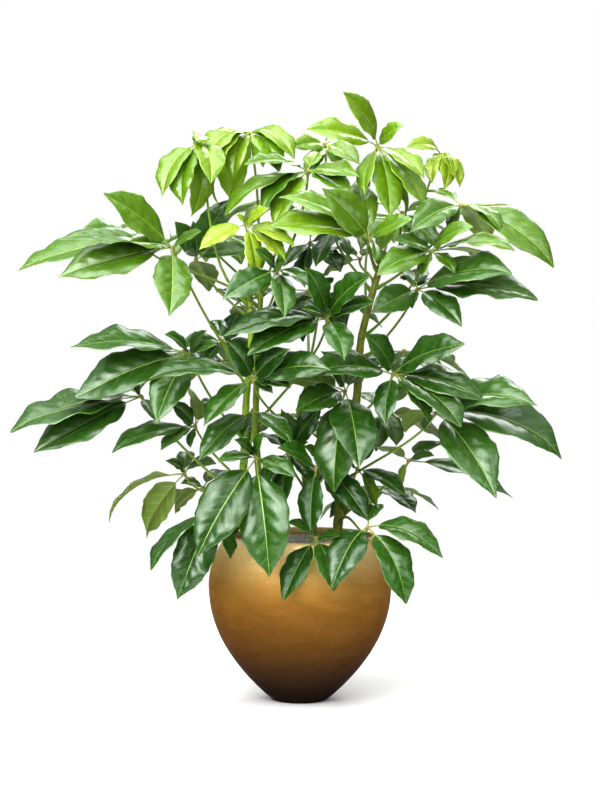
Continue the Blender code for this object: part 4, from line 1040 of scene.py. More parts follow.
@dataclass
class Planter:
    """The round pot: a belly over a narrow foot, a shoulder, a crease ring and a short neck.

    The foot's rounding lists (radius, height). The other roundings list steps from their own corner.
    """

    sides: int = 160
    belly_radius: float = 0.2295
    belly_height: float = 0.290
    foot_radius: float = 0.085
    foot_edge_height: float = 0.016
    lower_roundness: float = 2.1
    shoulder_span: float = 0.212
    crease_height: float = 0.400
    lip_height: float = LIP_HEIGHT
    lip_radius: float = 0.190
    wall: float = 0.009
    floor: float = 0.014
    floor_corner: float = 0.006
    corner_room: float = 0.004
    lower_steps: int = 36
    shoulder_steps: int = 12
    sharp_degrees: float = 50
    foot_rounding: tuple = (
        (0.0580, 0.0), (0.0625, 0.0009), (0.0660, 0.0023), (0.0692, 0.0040), (0.0725, 0.0063),
        (0.0756, 0.0087), (0.0785, 0.0109), (0.0818, 0.0134))
    crease_rounding: tuple = ((-0.0004, 0.0007), (-0.0016, 0.0012), (-0.0021, 0.0024))
    lip_rounding: tuple = ((0.0030, -0.0060), (0.0012, -0.0026), (-0.0006, -0.0008), (-0.0026, 0.0))
    inner_lip_rounding: tuple = ((0.0026, 0.0), (0.0006, -0.0008), (0.0, -0.0026))

    def outline(self) -> list[tuple[float, float]]:
        """Return the outside from the foot's edge up to the crease ring, as (radius, height)."""
        points = list(self.foot_rounding)
        spread = self.belly_radius - self.foot_radius
        for k in range(self.lower_steps + 1):
            drop = 1.0 - k / self.lower_steps
            points.append((self.belly_radius - spread * drop ** self.lower_roundness,
                           self.belly_height - (self.belly_height - self.foot_edge_height) * drop))
        for k in range(1, self.shoulder_steps + 1):
            height = self.belly_height + (self.crease_height - self.belly_height) * k / self.shoulder_steps
            rise = (height - self.belly_height) / self.shoulder_span
            points.append((self.belly_radius * math.sqrt(1.0 - rise ** 2), height))
        return points

    def neck(self) -> list[tuple[float, float]]:
        """Return the crease, the sloping neck and the rounded lip, as (radius, height)."""
        crease_radius = self.outline()[-1][0]
        corners = ((crease_radius, self.crease_height, self.crease_rounding),
                   (self.lip_radius, self.lip_height, self.lip_rounding),
                   (self.lip_radius - self.wall, self.lip_height, self.inner_lip_rounding))
        return [(radius + out, height + up) for radius, height, rounding in corners for out, up in rounding]

    def inside(self) -> list[tuple[float, float]]:
        """Return the inside from the floor up to the crease, as (radius, height)."""
        points = self.outline()
        moved = []
        for k, (radius, height) in enumerate(points):
            before = points[max(k - 1, 0)]
            after = points[min(k + 1, len(points) - 1)]
            run = Vector((after[0] - before[0], after[1] - before[1])).normalized()
            moved.append((radius - run.y * self.wall, height + run.x * self.wall))
        lowest = self.floor + self.corner_room
        highest = self.crease_height - self.corner_room
        return [point for point in moved if lowest < point[1] < highest]

    def build(self, material: bpy.types.Material) -> bpy.types.Object:
        """Turn the wall about the pot's axis.

        Args:
            material: The coating.

        Returns:
            The pot.
        """
        inner = self.inside()
        centre = (inner[0][0] - self.floor_corner, self.floor)
        draft = Draft()
        rings = []
        for radius, height in self.outline() + self.neck() + inner[::-1] + [centre]:
            ring = []
            for k, (cosine, sine) in enumerate(circle(self.sides)):
                place = Vector((radius * cosine, radius * sine, height))
                ring.append(draft.add_point(place, (k / self.sides, height), (k / self.sides, radius)))
            rings.append(ring)
        draft.skin_rings(rings, [0] * self.sides)
        pot = draft.finish("pot_wall", [material])
        pot.data.set_sharp_from_angle(angle=math.radians(self.sharp_degrees))
        return pot


@dataclass
class StemRun:
    """One stem, from its root in the soil to its growing tip.

    root_height is in centimetres and the other lengths are in metres. tip_rounding lists how far each
    last ring lies beyond the path's end, and its share of the radius there.
    """

    key: str
    sides: int = 20
    rings_per_metre: int = 110
    root_height: float = 30.0
    swelling_gaps: tuple = (0.030, 0.065)
    swelling_length: float = 0.0060
    swelling_share: float = 0.105
    plain_share: float = 0.985
    tip_rounding: tuple = ((0.005, 0.86), (0.009, 0.62), (0.012, 0.30))

    def stations(self) -> list[tuple[Vector, float]]:
        """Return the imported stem's ring centres and radii, in metres."""
        stem = STEMS[self.key]
        foot = stem.path[0]
        lowest = foot[2]
        highest = stem.path[-1][2]
        stations = [(Vector((foot[0], foot[1], self.root_height)) * CM, stem.foot_radius * CM)]
        for x, y, z in stem.path:
            share = (z - lowest) / (highest - lowest)
            radius = stem.foot_radius + (stem.top_radius - stem.foot_radius) * share
            stations.append((Vector((x, y, z)) * CM, radius * CM))
        return stations

    def at(self, height: float) -> tuple[Vector, float, Vector]:
        """Find the stem at a height.

        Args:
            height: Metres above the floor.

        Returns:
            The stem's centre, radius and direction there.
        """
        stations = self.stations()
        for (low, low_radius), (high, high_radius) in zip(stations[1:], stations[2:]):
            if low.z <= height <= high.z:
                share = (height - low.z) / (high.z - low.z)
                radius = low_radius + (high_radius - low_radius) * share
                return low.lerp(high, share), radius, (high - low).normalized()
        raise ValueError(f"no stem {self.key} at {height}")

    def build(self, material: bpy.types.Material) -> bpy.types.Object:
        """Build the stem with its swollen rings.

        Args:
            material: The bark.

        Returns:
            The stem.
        """
        draw = random.Random("bark of " + self.key)
        stations = self.stations()
        bottom = stations[0][0].z
        end, end_radius = stations[-1]
        across = tuple((place.z, place.x) for place, _ in stations)
        depth = tuple((place.z, place.y) for place, _ in stations)
        size = tuple((place.z, radius) for place, radius in stations)
        swellings = []
        height = bottom
        while height < end.z:
            height += draw.uniform(*self.swelling_gaps)
            swellings.append(height)
        centres = []
        radii = []
        count = int((end.z - bottom) * self.rings_per_metre)
        for k in range(count + 1):
            z = bottom + (end.z - bottom) * k / count
            swell = max(math.exp(-((z - middle) / self.swelling_length) ** 2) for middle in swellings)
            centres.append(Vector((smooth_table(across, z), smooth_table(depth, z), z)))
            radii.append(smooth_table(size, z) * (self.plain_share + self.swelling_share * swell))
        for rise, share in self.tip_rounding:
            centres.append(end + Vector((0, 0, rise)))
            radii.append(end_radius * share)
        draft = Draft()
        draft.tube(centres, radii, self.sides, Vector((1, 0, 0)), 0)
        return draft.finish("stem_" + self.key + "_bark", [material])


@dataclass
class GrainLayer:
    """The loose mineral layer on the soil, with its single grains.

    grain_rings lists each ring's height and radius as shares of the grain's half sizes, and its turn as a
    share of a side.
    """

    radius: float = 0.186
    low: float = 0.3843
    top: float = 0.3975
    hump_height: float = 0.0010
    sides: int = 96
    ring_count: int = 30
    grain_count: int = 3300
    grain_sizes: tuple = (0.0026, 0.0046)
    grain_sides: int = 5
    grain_rings: tuple = ((-0.85, 0.45, 0.0), (-0.1, 1.0, 0.5), (0.85, 0.5, 0.0))
    grain_rise: float = 0.25
    stem_room: float = 1.1
    base_tint: tuple = (0.15, 0.5, 0.5, 1.0)

    def surface_height(self, x: float, y: float) -> float:
        """Return the height of the layer's gentle humps at a place."""
        hump = math.sin(31.0 * x + 2.0) * math.cos(27.0 * y - 1.0) + 0.5 * math.sin(55.0 * (x + y))
        return self.top + self.hump_height * hump

    def build(self, material: bpy.types.Material, stems: list[StemRun]) -> bpy.types.Object:
        """Build the layer and strew the grains over it.

        Args:
            material: The grains' finish.
            stems: The stems, which the grains keep clear of.

        Returns:
            The layer.
        """
        draw = random.Random("grains")
        draft = Draft()
        rows = [(1.0, self.low)] + [(1.0 - k / self.ring_count, None) for k in range(self.ring_count)]
        rings = []
        for share, height in rows:
            ring = []
            for cosine, sine in circle(self.sides):
                x = cosine * self.radius * share
                y = sine * self.radius * share
                z = height if height is not None else self.surface_height(x, y)
                ring.append(draft.add_point(Vector((x, y, z)), tint=self.base_tint))
            rings.append(ring)
        draft.skin_rings(rings, [0] * self.sides)
        feet = [run.stations()[0] for run in stems]
        golden = math.pi * (3.0 - math.sqrt(5.0))
        for k in range(self.grain_count):
            size = draw.uniform(*self.grain_sizes)
            reach = (self.radius - size) * math.sqrt((k + 0.5) / self.grain_count)
            turn = golden * k + draw.uniform(-0.3, 0.3)
            x = reach * math.cos(turn)
            y = reach * math.sin(turn)
            if any(math.hypot(x - foot.x, y - foot.y) < radius + size * self.stem_room
                   for foot, radius in feet):
                continue
            centre = Vector((x, y, self.surface_height(x, y) + self.grain_rise * size))
            self.add_grain(draft, draw, centre, size)
        return draft.finish("grain_layer", [material], smooth=False)

    def add_grain(self, draft: Draft, draw: random.Random, centre: Vector, size: float) -> None:
        """Add one angular grain.

        Args:
            draft: The mesh it goes into.
            draw: The source of its shape.
            centre: Its middle.
            size: Its half width.
        """
        tint = (draw.uniform(0.0, 1.0), draw.random(), draw.random(), 1.0)
        spin = Matrix.Rotation(draw.uniform(0.0, math.tau), 3, "Z") @ Matrix.Rotation(
            draw.uniform(-0.8, 0.8), 3, "X")
        stretch = Vector((size, size * draw.uniform(0.65, 0.95), size * draw.uniform(0.55, 0.8)))
        rings = []
        for height, radius, shift in self.grain_rings:
            ring = []
            for j in range(self.grain_sides):
                angle = math.tau * (j + shift) / self.grain_sides
                rough = radius * draw.uniform(0.85, 1.12)
                local = Vector((rough * math.cos(angle) * stretch.x, rough * math.sin(angle) * stretch.y,
                                height * stretch.z))
                ring.append(draft.add_point(centre + spin @ local, tint=tint))
            rings.append(ring)
        draft.skin_rings(rings, [0] * self.grain_sides)


@dataclass(frozen=True)
class BladeLook:
    """What sets one blade a little apart from the next.

    A ripple is (count, start, height) of the fine waves along one margin, the left margin's first. Their
    height, curl and swing are shares of the blade's width, and bulge is a share of its half width.
    """

    ripples: tuple
    bulge: float
    slim: float
    blunt: float
    curl: float
    swing: float


def draw_look(draw: random.Random) -> BladeLook:
    """Draw a blade's own look.

    Args:
        draw: The source of the leaf's looks.

    Returns:
        The look.
    """
    right, left = [(draw.uniform(1.8, 3.6), draw.uniform(0.0, math.tau), draw.uniform(0.020, 0.055))
                   for _ in range(2)]
    return BladeLook((left, right), bulge=draw.uniform(0.07, 0.15), slim=draw.uniform(0.86, 1.0),
                     blunt=draw.uniform(0.0, 0.38), curl=draw.uniform(-0.11, 0.07),
                     swing=draw.uniform(-0.035, 0.035))


@dataclass
class Blade:
    """A stalked leaflet along an arch from the hub to its tip, with its upper side along up.

    The fields down to edge_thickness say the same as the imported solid's source, and stations lists its
    rings as (place, share of the width). waves are the lifts of its margins there.
    """

    hub: Vector
    tip: Vector
    up: Vector
    waves: list[float]
    droop: float
    width_to_length: float = 0.45
    small_length: float = 0.20
    start: float = 0.14
    stations: tuple = ((0.32, 0.80), (0.56, 1.00), (0.82, 0.54))
    small_stations: tuple = ((0.36, 0.88), (0.68, 0.84))
    arch_hanging: float = 0.12
    arch_level: float = 0.18
    edge_fold: float = 0.14
    edge_wave: float = 0.035
    rib_thickness: float = 0.0018
    edge_thickness: float = 0.0009
    thickness: float = 0.0009
    margin_thinning: float = 0.35
    rib_width: float = 0.07
    rib_groove: float = 0.0005
    rib_keel: float = 0.0012
    curl_from: float = 0.72
    pillow: float = 0.008
    stalk_radius: float = 0.0021
    stalk_taper: float = 0.0008
    stalk_reach: float = 0.05
    stalk_sink: float = 0.0006
    stalk_steps: int = 7
    stalk_sides: int = 8
    rings: int = 34
    ring_crowding: float = 0.9
    outline: tuple = (
        (0.0, 0.02), (0.03, 0.20), (0.07, 0.42), (0.13, 0.63), (0.20, 0.795), (0.30, 0.935), (0.40, 0.995),
        (0.50, 1.0), (0.60, 0.935), (0.70, 0.79), (0.79, 0.58), (0.86, 0.365), (0.91, 0.20), (0.95, 0.10),
        (0.98, 0.045), (1.0, 0.008))
    columns: tuple = (-1.0, -0.90, -0.74, -0.56, -0.38, -0.20, -0.06, 0.0,
                      0.06, 0.20, 0.38, 0.56, 0.74, 0.90, 1.0)

    def __post_init__(self) -> None:
        """Work out the arch."""
        chord = self.tip - self.hub
        self.length = chord.length
        self.chord = chord / self.length
        self.up = square_to(self.chord, self.up)
        self.side = self.chord.cross(self.up)
        level = math.hypot(self.chord.x, self.chord.y)
        arch = self.arch_hanging + (self.arch_level - self.arch_hanging) * level + self.droop
        self.middle = self.hub.lerp(self.tip, 0.5) + self.up * arch * self.length
        self.width = self.width_to_length * self.length
        self.small = self.length < self.small_length
        self.packed = self.small_stations if self.small else self.stations

    def point(self, t: float) -> Vector:
        """Return the midrib's place at t, 0 at the hub and 1 at the tip."""
        return self.hub * (1 - t) ** 2 + self.middle * 2 * t * (1 - t) + self.tip * t * t

    def normal(self, t: float) -> Vector:
        """Return the way that the upper side looks at t."""
        slope = (self.middle - self.hub) * (1 - t) + (self.tip - self.middle) * t
        return self.side.cross(slope).normalized()

    def corners(self) -> list[Vector]:
        """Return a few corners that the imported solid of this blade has."""
        widest = 0 if self.small else 1
        t, share = self.packed[widest]
        half = 0.5 * self.width * share
        centre = self.point(t)
        up = self.normal(t)
        edge = half * self.edge_fold + self.width * self.edge_wave * self.waves[2 * widest]
        return [self.tip, centre + self.side * half + up * (edge + 0.5 * self.edge_thickness),
                centre + up * 0.5 * self.rib_thickness]

    def edge_rise(self, t: float, s: float) -> float:
        """Find how far a margin is lifted by its slow waves.

        Args:
            t: The place along the blade, 0 at the hub and 1 at the tip.
            s: The margin's side, by its sign.

        Returns:
            The lift in metres.
        """
        first = 0 if s > 0 else 1
        table = [(self.start, 0.0)]
        table += [(place, self.waves[2 * k + first]) for k, (place, _) in enumerate(self.packed)]
        table.append((1.0, 0.0))
        return self.width * self.edge_wave * smooth_table(tuple(table), t)

    def add_to(self, draft: Draft, look: BladeLook, tint: tuple) -> None:
        """Add the stalk and the blade to a leaf's mesh.

        Args:
            draft: The leaf's mesh.
            look: The blade's own look.
            tint: The blade's tint.
        """
        self.add_stalk(draft, tint)
        rings = []
        for k in range(self.rings + 1):
            u = 0.5 - 0.5 * math.cos(math.pi * (k / self.rings) ** self.ring_crowding)
            share = smooth_table(self.outline, u)
            if u > 0.5:
                share **= 1.0 - look.blunt
            top, bottom = self.cut(look, u, share)
            rings.append([draft.add_point(*point, tint) for point in top + bottom[::-1]])
        count = len(self.columns)
        draft.skin_rings(rings, [TOP] * (count - 1) + [UNDER] * (count + 1))

    def cut(self, look: BladeLook, u: float, share: float) -> tuple[list, list]:
        """Work out a cut across the blade.

        Args:
            look: The blade's own look.
            u: The place along the blade, 0 where it starts and 1 at its tip.
            share: The outline's share of the full width there.

        Returns:
            The points of the upper side and of the underside, each with its surface and span coordinates.
        """
        t = self.start + (1.0 - self.start) * u
        centre = self.point(t)
        up = self.normal(t)
        half = 0.5 * self.width * share * look.slim
        tip_lift = self.width * look.curl * max(0.0, (u - self.curl_from) / (1.0 - self.curl_from)) ** 2
        sway = self.width * look.swing * math.sin(math.pi * u)
        top = []
        bottom = []
        for s in self.columns:
            reach = abs(s)
            count, phase, height = look.ripples[s > 0]
            lift = tip_lift + half * self.edge_fold * reach + look.bulge * half * math.sin(math.pi * reach)
            lift += self.edge_rise(t, s) * reach ** 1.4
            lift += self.width * height * reach ** 2 * share * math.sin(math.tau * count * u + phase)
            stagger = VEIN_STAGGER if s > 0 else 0.0
            veined = math.cos(math.tau * (VEIN_PAIRS * (u - VEIN_LEAN * reach * share) + stagger))
            lift += self.pillow * self.width * share * math.sin(math.pi * min(1.0, 1.25 * reach)) * veined
            uneven = 0.03 * veined + 0.05 * math.sin(math.tau * (1.4 * u + phase))
            spread = half * s * (1.0 - uneven * reach ** 4)
            place = centre + self.side * (spread + sway) + up * lift
            half_thick = 0.5 * self.thickness * (1.0 - self.margin_thinning * reach ** 3)
            rib = math.exp(-(reach / self.rib_width) ** 2) * (1.0 - 0.8 * u)
            surface = (0.5 + 0.5 * s, u)
            span = (0.5 + 0.5 * s * share, u)
            top.append((place + up * (half_thick - self.rib_groove * rib), surface, span))
            bottom.append((place - up * (half_thick + self.rib_keel * rib), surface, span))
        return top, bottom

    def add_stalk(self, draft: Draft, tint: tuple) -> None:
        """Add the leaflet's own stalk, running a little way under the blade.

        Args:
            draft: The leaf's mesh.
            tint: The blade's tint.
        """
        end = self.start + self.stalk_reach
        places = []
        radii = []
        for k in range(self.stalk_steps + 1):
            share = k / self.stalk_steps
            t = end * share
            places.append(self.point(t) - self.normal(t) * self.stalk_sink * share)
            radii.append(self.stalk_radius - self.stalk_taper * share)
        draft.tube(places, radii, self.stalk_sides, self.side, STALK, tint)


@dataclass
class Petiole:
    """A leaf's long stalk: a smooth bow from the stem's side up into the hub.

    The fields down to packed_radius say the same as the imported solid's source. thickness lists the
    radius along the stalk and hub_rounding the hub's last rings, as (metres beyond it, radius).
    """

    leaf: Leaf
    turn: float
    shift: float
    bow: float
    foot_gap: float = 0.0007
    leaves_out: float = 0.75
    leaves_up: float = 0.65
    arrives: float = 0.28
    front_lean: float = 0.28
    outward_lean: float = 1.4
    stations: tuple = ((0.30, 1.15), (0.62, 1.0), (0.93, 0.95))
    packed_radius: float = 0.0034
    sides: int = 10
    clasp_radius: float = 0.0062
    clasp_depth: float = 0.0014
    thickness: tuple = (
        (0.0, 0.0058), (0.03, 0.0052), (0.08, 0.0038), (0.2, 0.0033), (0.6, 0.0029), (0.93, 0.0028),
        (0.965, 0.0036), (0.985, 0.0050), (1.0, 0.0054))
    steps: tuple = (0.0, 0.015, 0.03, 0.05, 0.08, 0.12, 0.18, 0.26, 0.35, 0.45, 0.55, 0.65, 0.75, 0.84,
                    0.90, 0.94, 0.965, 0.985, 1.0)
    hub_rounding: tuple = ((0.0022, 0.0050), (0.0042, 0.0038), (0.0056, 0.0018))

    def __post_init__(self) -> None:
        """Work out the bow."""
        leaf = self.leaf
        self.hub = from_front(*leaf.hub)
        centre, radius, self.along = StemRun(leaf.stem).at((leaf.attach + self.shift) * CM)
        out = square_to(self.along, self.hub - centre)
        self.out = Matrix.Rotation(math.radians(self.turn), 3, self.along) @ out
        self.foot = centre + self.out * (radius + self.foot_gap)
        span = (self.hub - self.foot).length
        outward = Vector((self.hub.x, self.hub.y, 0.0))
        axis = (Vector((0, -self.front_lean, 1)) + outward * self.outward_lean).normalized()
        leaving = self.out * self.leaves_out + self.along * self.leaves_up
        self.leave = self.foot + leaving * span * self.bow
        self.arrive = self.hub - axis * span * self.arrives

    def point(self, t: float) -> Vector:
        """Return the stalk's place at t, 0 at the stem and 1 at the hub."""
        s = 1.0 - t
        return (self.foot * s ** 3 + self.leave * 3 * s * s * t + self.arrive * 3 * s * t * t
                + self.hub * t ** 3)

    def direction(self, t: float) -> Vector:
        """Return the stalk's direction at t."""
        s = 1.0 - t
        slope = ((self.leave - self.foot) * s * s + (self.arrive - self.leave) * 2 * s * t
                 + (self.hub - self.arrive) * t * t)
        return slope.normalized()

    def corners(self) -> list[Vector]:
        """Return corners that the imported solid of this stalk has, all far from the stem."""
        found = []
        for t, share in self.stations[1:]:
            direction = self.direction(t)
            hint = self.along if abs(direction.dot(self.along)) <= NEARLY_ALONG else Vector((1, 0, 0))
            up = square_to(direction, hint)
            found.append(self.point(t) + up * self.packed_radius * share)
        return found

    def add_to(self, draft: Draft, tint: tuple) -> None:
        """Add the stalk with its clasping foot and its hub to a leaf's mesh.

        Args:
            draft: The leaf's mesh.
            tint: The stalk's tint.
        """
        places = [self.foot - self.out * self.clasp_depth] + [self.point(t) for t in self.steps]
        radii = [self.clasp_radius] + [smooth_table(self.thickness, t) for t in self.steps]
        end = self.direction(1.0)
        for rise, radius in self.hub_rounding:
            places.append(self.hub + end * rise)
            radii.append(radius)
        hint = Vector((0.31, 0.95, 0.05)).normalized()
        draft.tube(places, radii, self.sides, hint, PETIOLE, tint)


class NodeCorners:
    """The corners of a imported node, to find again what it was built from."""

    def __init__(self, node: str) -> None:
        """Read a node's corners.

        Args:
            node: The node's name.
        """
        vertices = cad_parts[node].data.vertices
        self.tree = KDTree(len(vertices))
        for k, vertex in enumerate(vertices):
            self.tree.insert(vertex.co, k)
        self.tree.balance()

    def misfit(self, corners: list[Vector]) -> float:
        """Return how far the worst of some corners lies from a corner of the node."""
        return max(self.tree.find(corner)[2] for corner in corners)

    def best(self, trials: Iterable, enough: float) -> tuple:
        """Find the trial that fits the node.

        Args:
            trials: Pieces to try in order, each with a corners method.
            enough: A misfit in metres that ends the search.

        Returns:
            The best piece and its misfit.
        """
        best = None
        least = math.inf
        for trial in trials:
            misfit = self.misfit(trial.corners())
            if misfit < least:
                best, least = trial, misfit
            if least < enough:
                break
        return best, least


def upper_side(chord: Vector, face: float) -> Vector:
    """Find which way a blade's upper side looks.

    Args:
        chord: The blade's direction.
        face: How squarely its upper side faces the eye.

    Returns:
        The direction.
    """
    front = Vector((0, -1, 0))
    if abs(chord.dot(front)) > NEARLY_ALONG:
        front = Vector((0, 0, 1))
    toward = square_to(chord, front)
    across = chord.cross(toward)
    if across.z < 0:
        across = -across
    return toward * face + across * math.sqrt(max(0.0, 1.0 - face * face))


def tip_from_hub(across: float, up: float, reach: float, way: int) -> Vector:
    """Find a tip from what is seen of it and its distance from the hub.

    Args:
        across: Centimetres to the right of the hub.
        up: Centimetres above the hub.
        reach: Its distance from the hub in centimetres.
        way: 1 where it lies behind the hub, and -1 where it lies in front.

    Returns:
        Its place from the hub in metres.
    """
    shown = math.hypot(across, up)
    return Vector((across, way * math.sqrt(max(reach * reach - shown * shown, 0.0)), up)) * CM


@dataclass
class CompoundLeaf:
    """One whole leaf: its petiole, its hub and the whorl of leaflets."""

    leaf: Leaf
    worst: float = field(default=0.0, init=False)
    full_relief_length: float = 0.28

    def wanted(self) -> list[tuple[Vector, Vector]]:
        """Return each leaflet's tip from the hub and the way its upper side looks."""
        leaf = self.leaf
        overhead = Vector((0, 0, 1))
        wanted = []
        for across, up, face, *own in leaf.seen:
            shown = math.hypot(across, up)
            usual = max(min(leaf.length, SEEN_LENGTHENING * shown + SEEN_EXTRA), SEEN_LEAST * shown)
            offset = tip_from_hub(across, up, own[0] if own else usual, -1)
            wanted.append((offset, upper_side(offset.normalized(), face)))
        for across, up in leaf.far:
            reach = min(leaf.length, FAR_LENGTHENING * math.hypot(across, up) + FAR_EXTRA)
            wanted.append((tip_from_hub(across, up, reach, 1), overhead))
        half_spread = FILL_HALF_SPREAD if leaf.seen else 180
        draw = random.Random("fill of " + leaf.name)
        for k in range(leaf.fill):
            angle = math.radians(half_spread * (2 * (k + 0.5) / leaf.fill - 1))
            reach = leaf.length * draw.uniform(*FILL_LENGTHS)
            droop = FILL_DROOP * draw.uniform(*FILL_DROOP_SHARES)
            direction = Vector((math.sin(angle), math.cos(angle), -droop)).normalized()
            wanted.append((direction * reach * CM, overhead))
        return wanted

    def petiole(self, corners: NodeCorners) -> Petiole:
        """Find the petiole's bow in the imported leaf.

        Args:
            corners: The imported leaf's corners.

        Returns:
            The petiole.
        """
        path = STEMS[self.leaf.stem].path
        lowest = path[0][2] + FOOT_CLEARANCE
        highest = path[-1][2] - FOOT_CLEARANCE
        trials = [Petiole(self.leaf, *bend) for bend in product(PETIOLE_TURNS, PETIOLE_SHIFTS, PETIOLE_BOWS)
                  if lowest < self.leaf.attach + bend[1] < highest]
        best, misfit = corners.best(trials, PETIOLE_FOUND)
        self.worst = max(self.worst, misfit)
        return best

    @staticmethod
    def moves() -> list[tuple[float, float, float, float]]:
        """Return the ways that a leaflet may have been moved aside, the slightest first."""
        moves = []
        for scale, aside, depth, roll in product(LEAFLET_SCALES, LEAFLET_ASIDES, LEAFLET_DEPTHS,
                                                 LEAFLET_ROLLS):
            steps = ((1 - scale) / SCALE_STEP + abs(aside) / ASIDE_STEP + abs(depth) / DEPTH_STEP
                     + abs(roll) / ROLL_STEP)
            if steps < MOST_STEPS:
                moves.append((steps, scale, aside, depth, roll))
        moves.sort()
        return [move[1:] for move in moves]

    def trials(self, hub: Vector, offset: Vector, up: Vector, waves: list[float],
               moves: list) -> Iterator[Blade]:
        """Try a leaflet at each place that it may have been moved to.

        Args:
            hub: The leaf's hub.
            offset: The leaflet's wanted tip from the hub.
            up: The way that its upper side should look.
            waves: The lifts of its margins.
            moves: The ways that it may have been moved aside.

        Yields:
            The leaflet at each move.
        """
        depth_axis = Vector((0, 1, 0))
        swing_axis = offset.cross(depth_axis).normalized()
        for scale, aside, depth, roll in moves:
            turn = Matrix.Rotation(math.radians(aside), 3, depth_axis)
            swing = Matrix.Rotation(math.radians(depth), 3, swing_axis)
            moved = turn @ swing @ offset * scale
            looks = Matrix.Rotation(math.radians(roll), 3, moved.normalized()) @ (turn @ swing @ up)
            yield Blade(hub, hub + moved, looks, waves, self.leaf.droop)

    def blades(self, hub: Vector, corners: NodeCorners, moves: list) -> list[Blade]:
        """Find every leaflet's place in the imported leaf.

        Args:
            hub: The leaf's hub.
            corners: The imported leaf's corners.
            moves: The ways that a leaflet may have been moved aside.

        Returns:
            The leaflets.
        """
        draw = random.Random("waves of " + self.leaf.name)
        placed = []
        for offset, up in self.wanted():
            waves = [draw.uniform(-1.0, 1.0) for _ in range(6)]
            best, misfit = corners.best(self.trials(hub, offset, up, waves, moves), LEAFLET_FOUND)
            self.worst = max(self.worst, misfit)
            placed.append(best)
        return placed

    def build(self, materials: list[bpy.types.Material], moves: list) -> bpy.types.Object:
        """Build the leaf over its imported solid.

        Args:
            materials: Its slots: top, under, petiole, stalk.
            moves: The ways that a leaflet may have been moved aside.

        Returns:
            The leaf.
        """
        corners = NodeCorners("leaf_" + self.leaf.name)
        draw = random.Random("look of " + self.leaf.name)
        petiole = self.petiole(corners)
        draft = Draft()
        petiole.add_to(draft, (draw.random(), 0.5, 0.5, 1.0))
        for blade in self.blades(petiole.hub, corners, moves):
            size = min(1.0, blade.length / self.full_relief_length)
            tint = (draw.random(), draw.random(), size ** 2, 1.0)
            blade.add_to(draft, draw_look(draw), tint)
        return draft.finish(self.leaf.name + "_leaf", materials)


class Lamp(NamedTuple):
    """A soft light: where it hangs, its width and height in metres and its power in watts."""

    name: str
    place: tuple
    width: float
    height: float
    power: float


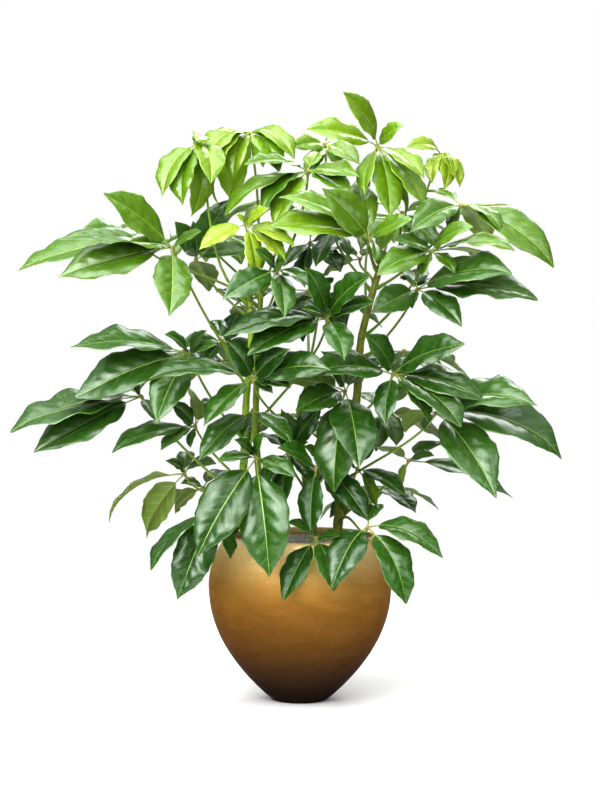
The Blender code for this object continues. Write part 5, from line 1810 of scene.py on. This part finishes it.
@dataclass
class Studio:
    """A pale floor, soft lights and the camera. view_height is what the camera takes in at the axis."""

    eye: Vector = field(default_factory=lambda: Vector((0.0, -EYE_DISTANCE * CM, EYE_HEIGHT * CM)))
    aim: Vector = field(default_factory=lambda: Vector((0.0, 0.0, 0.757)))
    view_height: float = 2.0
    gamma: float = 0.84
    floor_radius: float = 2.2
    floor_sides: int = 96
    lamps: tuple = (
        Lamp("front", (-0.9, -6.0, 3.2), 5.4, 3.2, 390.0),
        Lamp("top", (-0.5, -0.5, 4.2), 3.6, 3.0, 110.0),
        Lamp("key", (-1.9, -2.8, 3.6), 3.4, 3.0, 165.0),
        Lamp("fill", (3.0, -3.0, 2.4), 2.0, 2.4, 40.0),
        Lamp("back", (0.8, 2.8, 3.4), 2.4, 2.0, 80.0))

    def build(self) -> None:
        """Set everything up."""
        self.add_floor()
        self.add_world()
        for lamp in self.lamps:
            self.add_light(lamp)
        self.add_camera()
        settings = bpy.context.scene.view_settings
        settings.view_transform = "Standard"
        settings.gamma = self.gamma

    def add_floor(self) -> None:
        """Lay a round pale floor, wide enough for the plant's shadow."""
        draft = Draft()
        rim = [draft.add_point(Vector((self.floor_radius * cosine, self.floor_radius * sine, 0.0)))
               for cosine, sine in circle(self.floor_sides)]
        draft.add_face(tuple(rim))
        material, graph, shader = new_material("pale_floor")
        shade = graph.noise(graph.place(), 3.0, 4.0)
        graph.feed(shader.inputs["Base Color"], graph.mix(shade, (0.92, 0.92, 0.92), (0.95, 0.95, 0.95)))
        shader.inputs["Roughness"].default_value = 0.85
        shader.inputs["Specular IOR Level"].default_value = 0.1
        floor = draft.finish("floor", [material], smooth=False)

    @staticmethod
    def add_world() -> None:
        """Light everything softly, most from above, before a plain white ground."""
        world = bpy.data.worlds.new("soft_room")
        bpy.context.scene.world = world
        world.use_nodes = True
        graph = Graph(world.node_tree)
        white = (1.0, 1.0, 1.0, 1.0)
        room = world.node_tree.nodes["Background"]
        height = graph.axes(graph.node("ShaderNodeTexCoord").outputs["Generated"])[2]
        graph.feed(room.inputs["Strength"], graph.step(height, 0.0, 0.9, 0.05, 0.90))
        room.inputs["Color"].default_value = white
        ground = graph.node("ShaderNodeBackground", {"Color": white, "Strength": 1.0})
        seen = graph.node("ShaderNodeLightPath").outputs["Is Camera Ray"]
        mixed = graph.node("ShaderNodeMixShader", {0: seen, 1: room.outputs[0], 2: ground.outputs[0]})
        graph.feed(world.node_tree.nodes["World Output"].inputs["Surface"], mixed.outputs[0])

    def add_light(self, lamp: Lamp) -> None:
        """Hang a soft light that faces the plant.

        Args:
            lamp: The light.
        """
        light = bpy.data.lights.new(lamp.name, "AREA")
        light.shape = "RECTANGLE"
        light.size = lamp.width
        light.size_y = lamp.height
        light.energy = lamp.power
        self.hang(bpy.data.objects.new(lamp.name, light), Vector(lamp.place))

    def add_camera(self) -> None:
        """Put the camera where the photograph was taken from."""
        camera = bpy.data.cameras.new("camera")
        camera.sensor_fit = "VERTICAL"
        camera.angle = 2 * math.atan(0.5 * self.view_height / (EYE_DISTANCE * CM))
        holder = bpy.data.objects.new("camera", camera)
        self.hang(holder, self.eye)
        bpy.context.scene.camera = holder

    def hang(self, holder: bpy.types.Object, place: Vector) -> None:
        """Hang a light or the camera up, facing the plant.

        Args:
            holder: The light or the camera.
            place: Where it hangs, in metres.
        """
        holder.location = place
        holder.rotation_euler = (self.aim - place).to_track_quat("-Z", "Y").to_euler()
        bpy.context.scene.collection.objects.link(holder)


def settle(piece: bpy.types.Object, node: str) -> None:
    """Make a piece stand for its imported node.

    Args:
        piece: The finished piece.
        node: The node that it replaces.
    """
    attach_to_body(piece, "root")
    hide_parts(node)
    log.info("%s stands for %s: %d points, %d faces", piece.name, node, len(piece.data.vertices),
             len(piece.data.polygons))


def main() -> None:
    """Build and dress every piece in order."""
    logging.basicConfig(level=logging.INFO, format="%(name)s %(message)s")
    effects = Effects()
    Studio().build()
    settle(Planter().build(LeafMetalFinish().material(effects)), "pot")

    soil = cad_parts["soil"]
    earth = CrumbFinish("potting_mix", (0.012, 0.008, 0.005), (0.06, 0.04, 0.025), 90.0, 0.95)
    soil.data.materials.clear()
    soil.data.materials.append(earth.material(effects))
    log.info("soil keeps its packed shape")

    runs = [StemRun(key) for key in STEMS]
    mineral = CrumbFinish("mineral_grains", (0.22, 0.20, 0.18), (0.72, 0.70, 0.66), 160.0, 0.85)
    settle(GrainLayer().build(mineral.material(effects), runs), "granulate")
    for run in runs:
        woody = STEMS[run.key].woody
        bark = BarkFinish("bark_" + run.key, woody)
        settle(run.build(bark.material(effects)), "stem_" + run.key)

    skins = {tone: leaf_materials(tone, effects) for tone in Tone}
    moves = CompoundLeaf.moves()
    for leaf in LEAVES:
        compound = CompoundLeaf(leaf)
        piece = compound.build(skins[LOOKS.get(leaf.name, leaf.tone)], moves)
        settle(piece, "leaf_" + leaf.name)
        if compound.worst > LEAF_LOST:
            log.warning("%s lies up to %.2f mm off its packed leaf", leaf.name, 1000 * compound.worst)


if __name__ == "__main__":
    main()
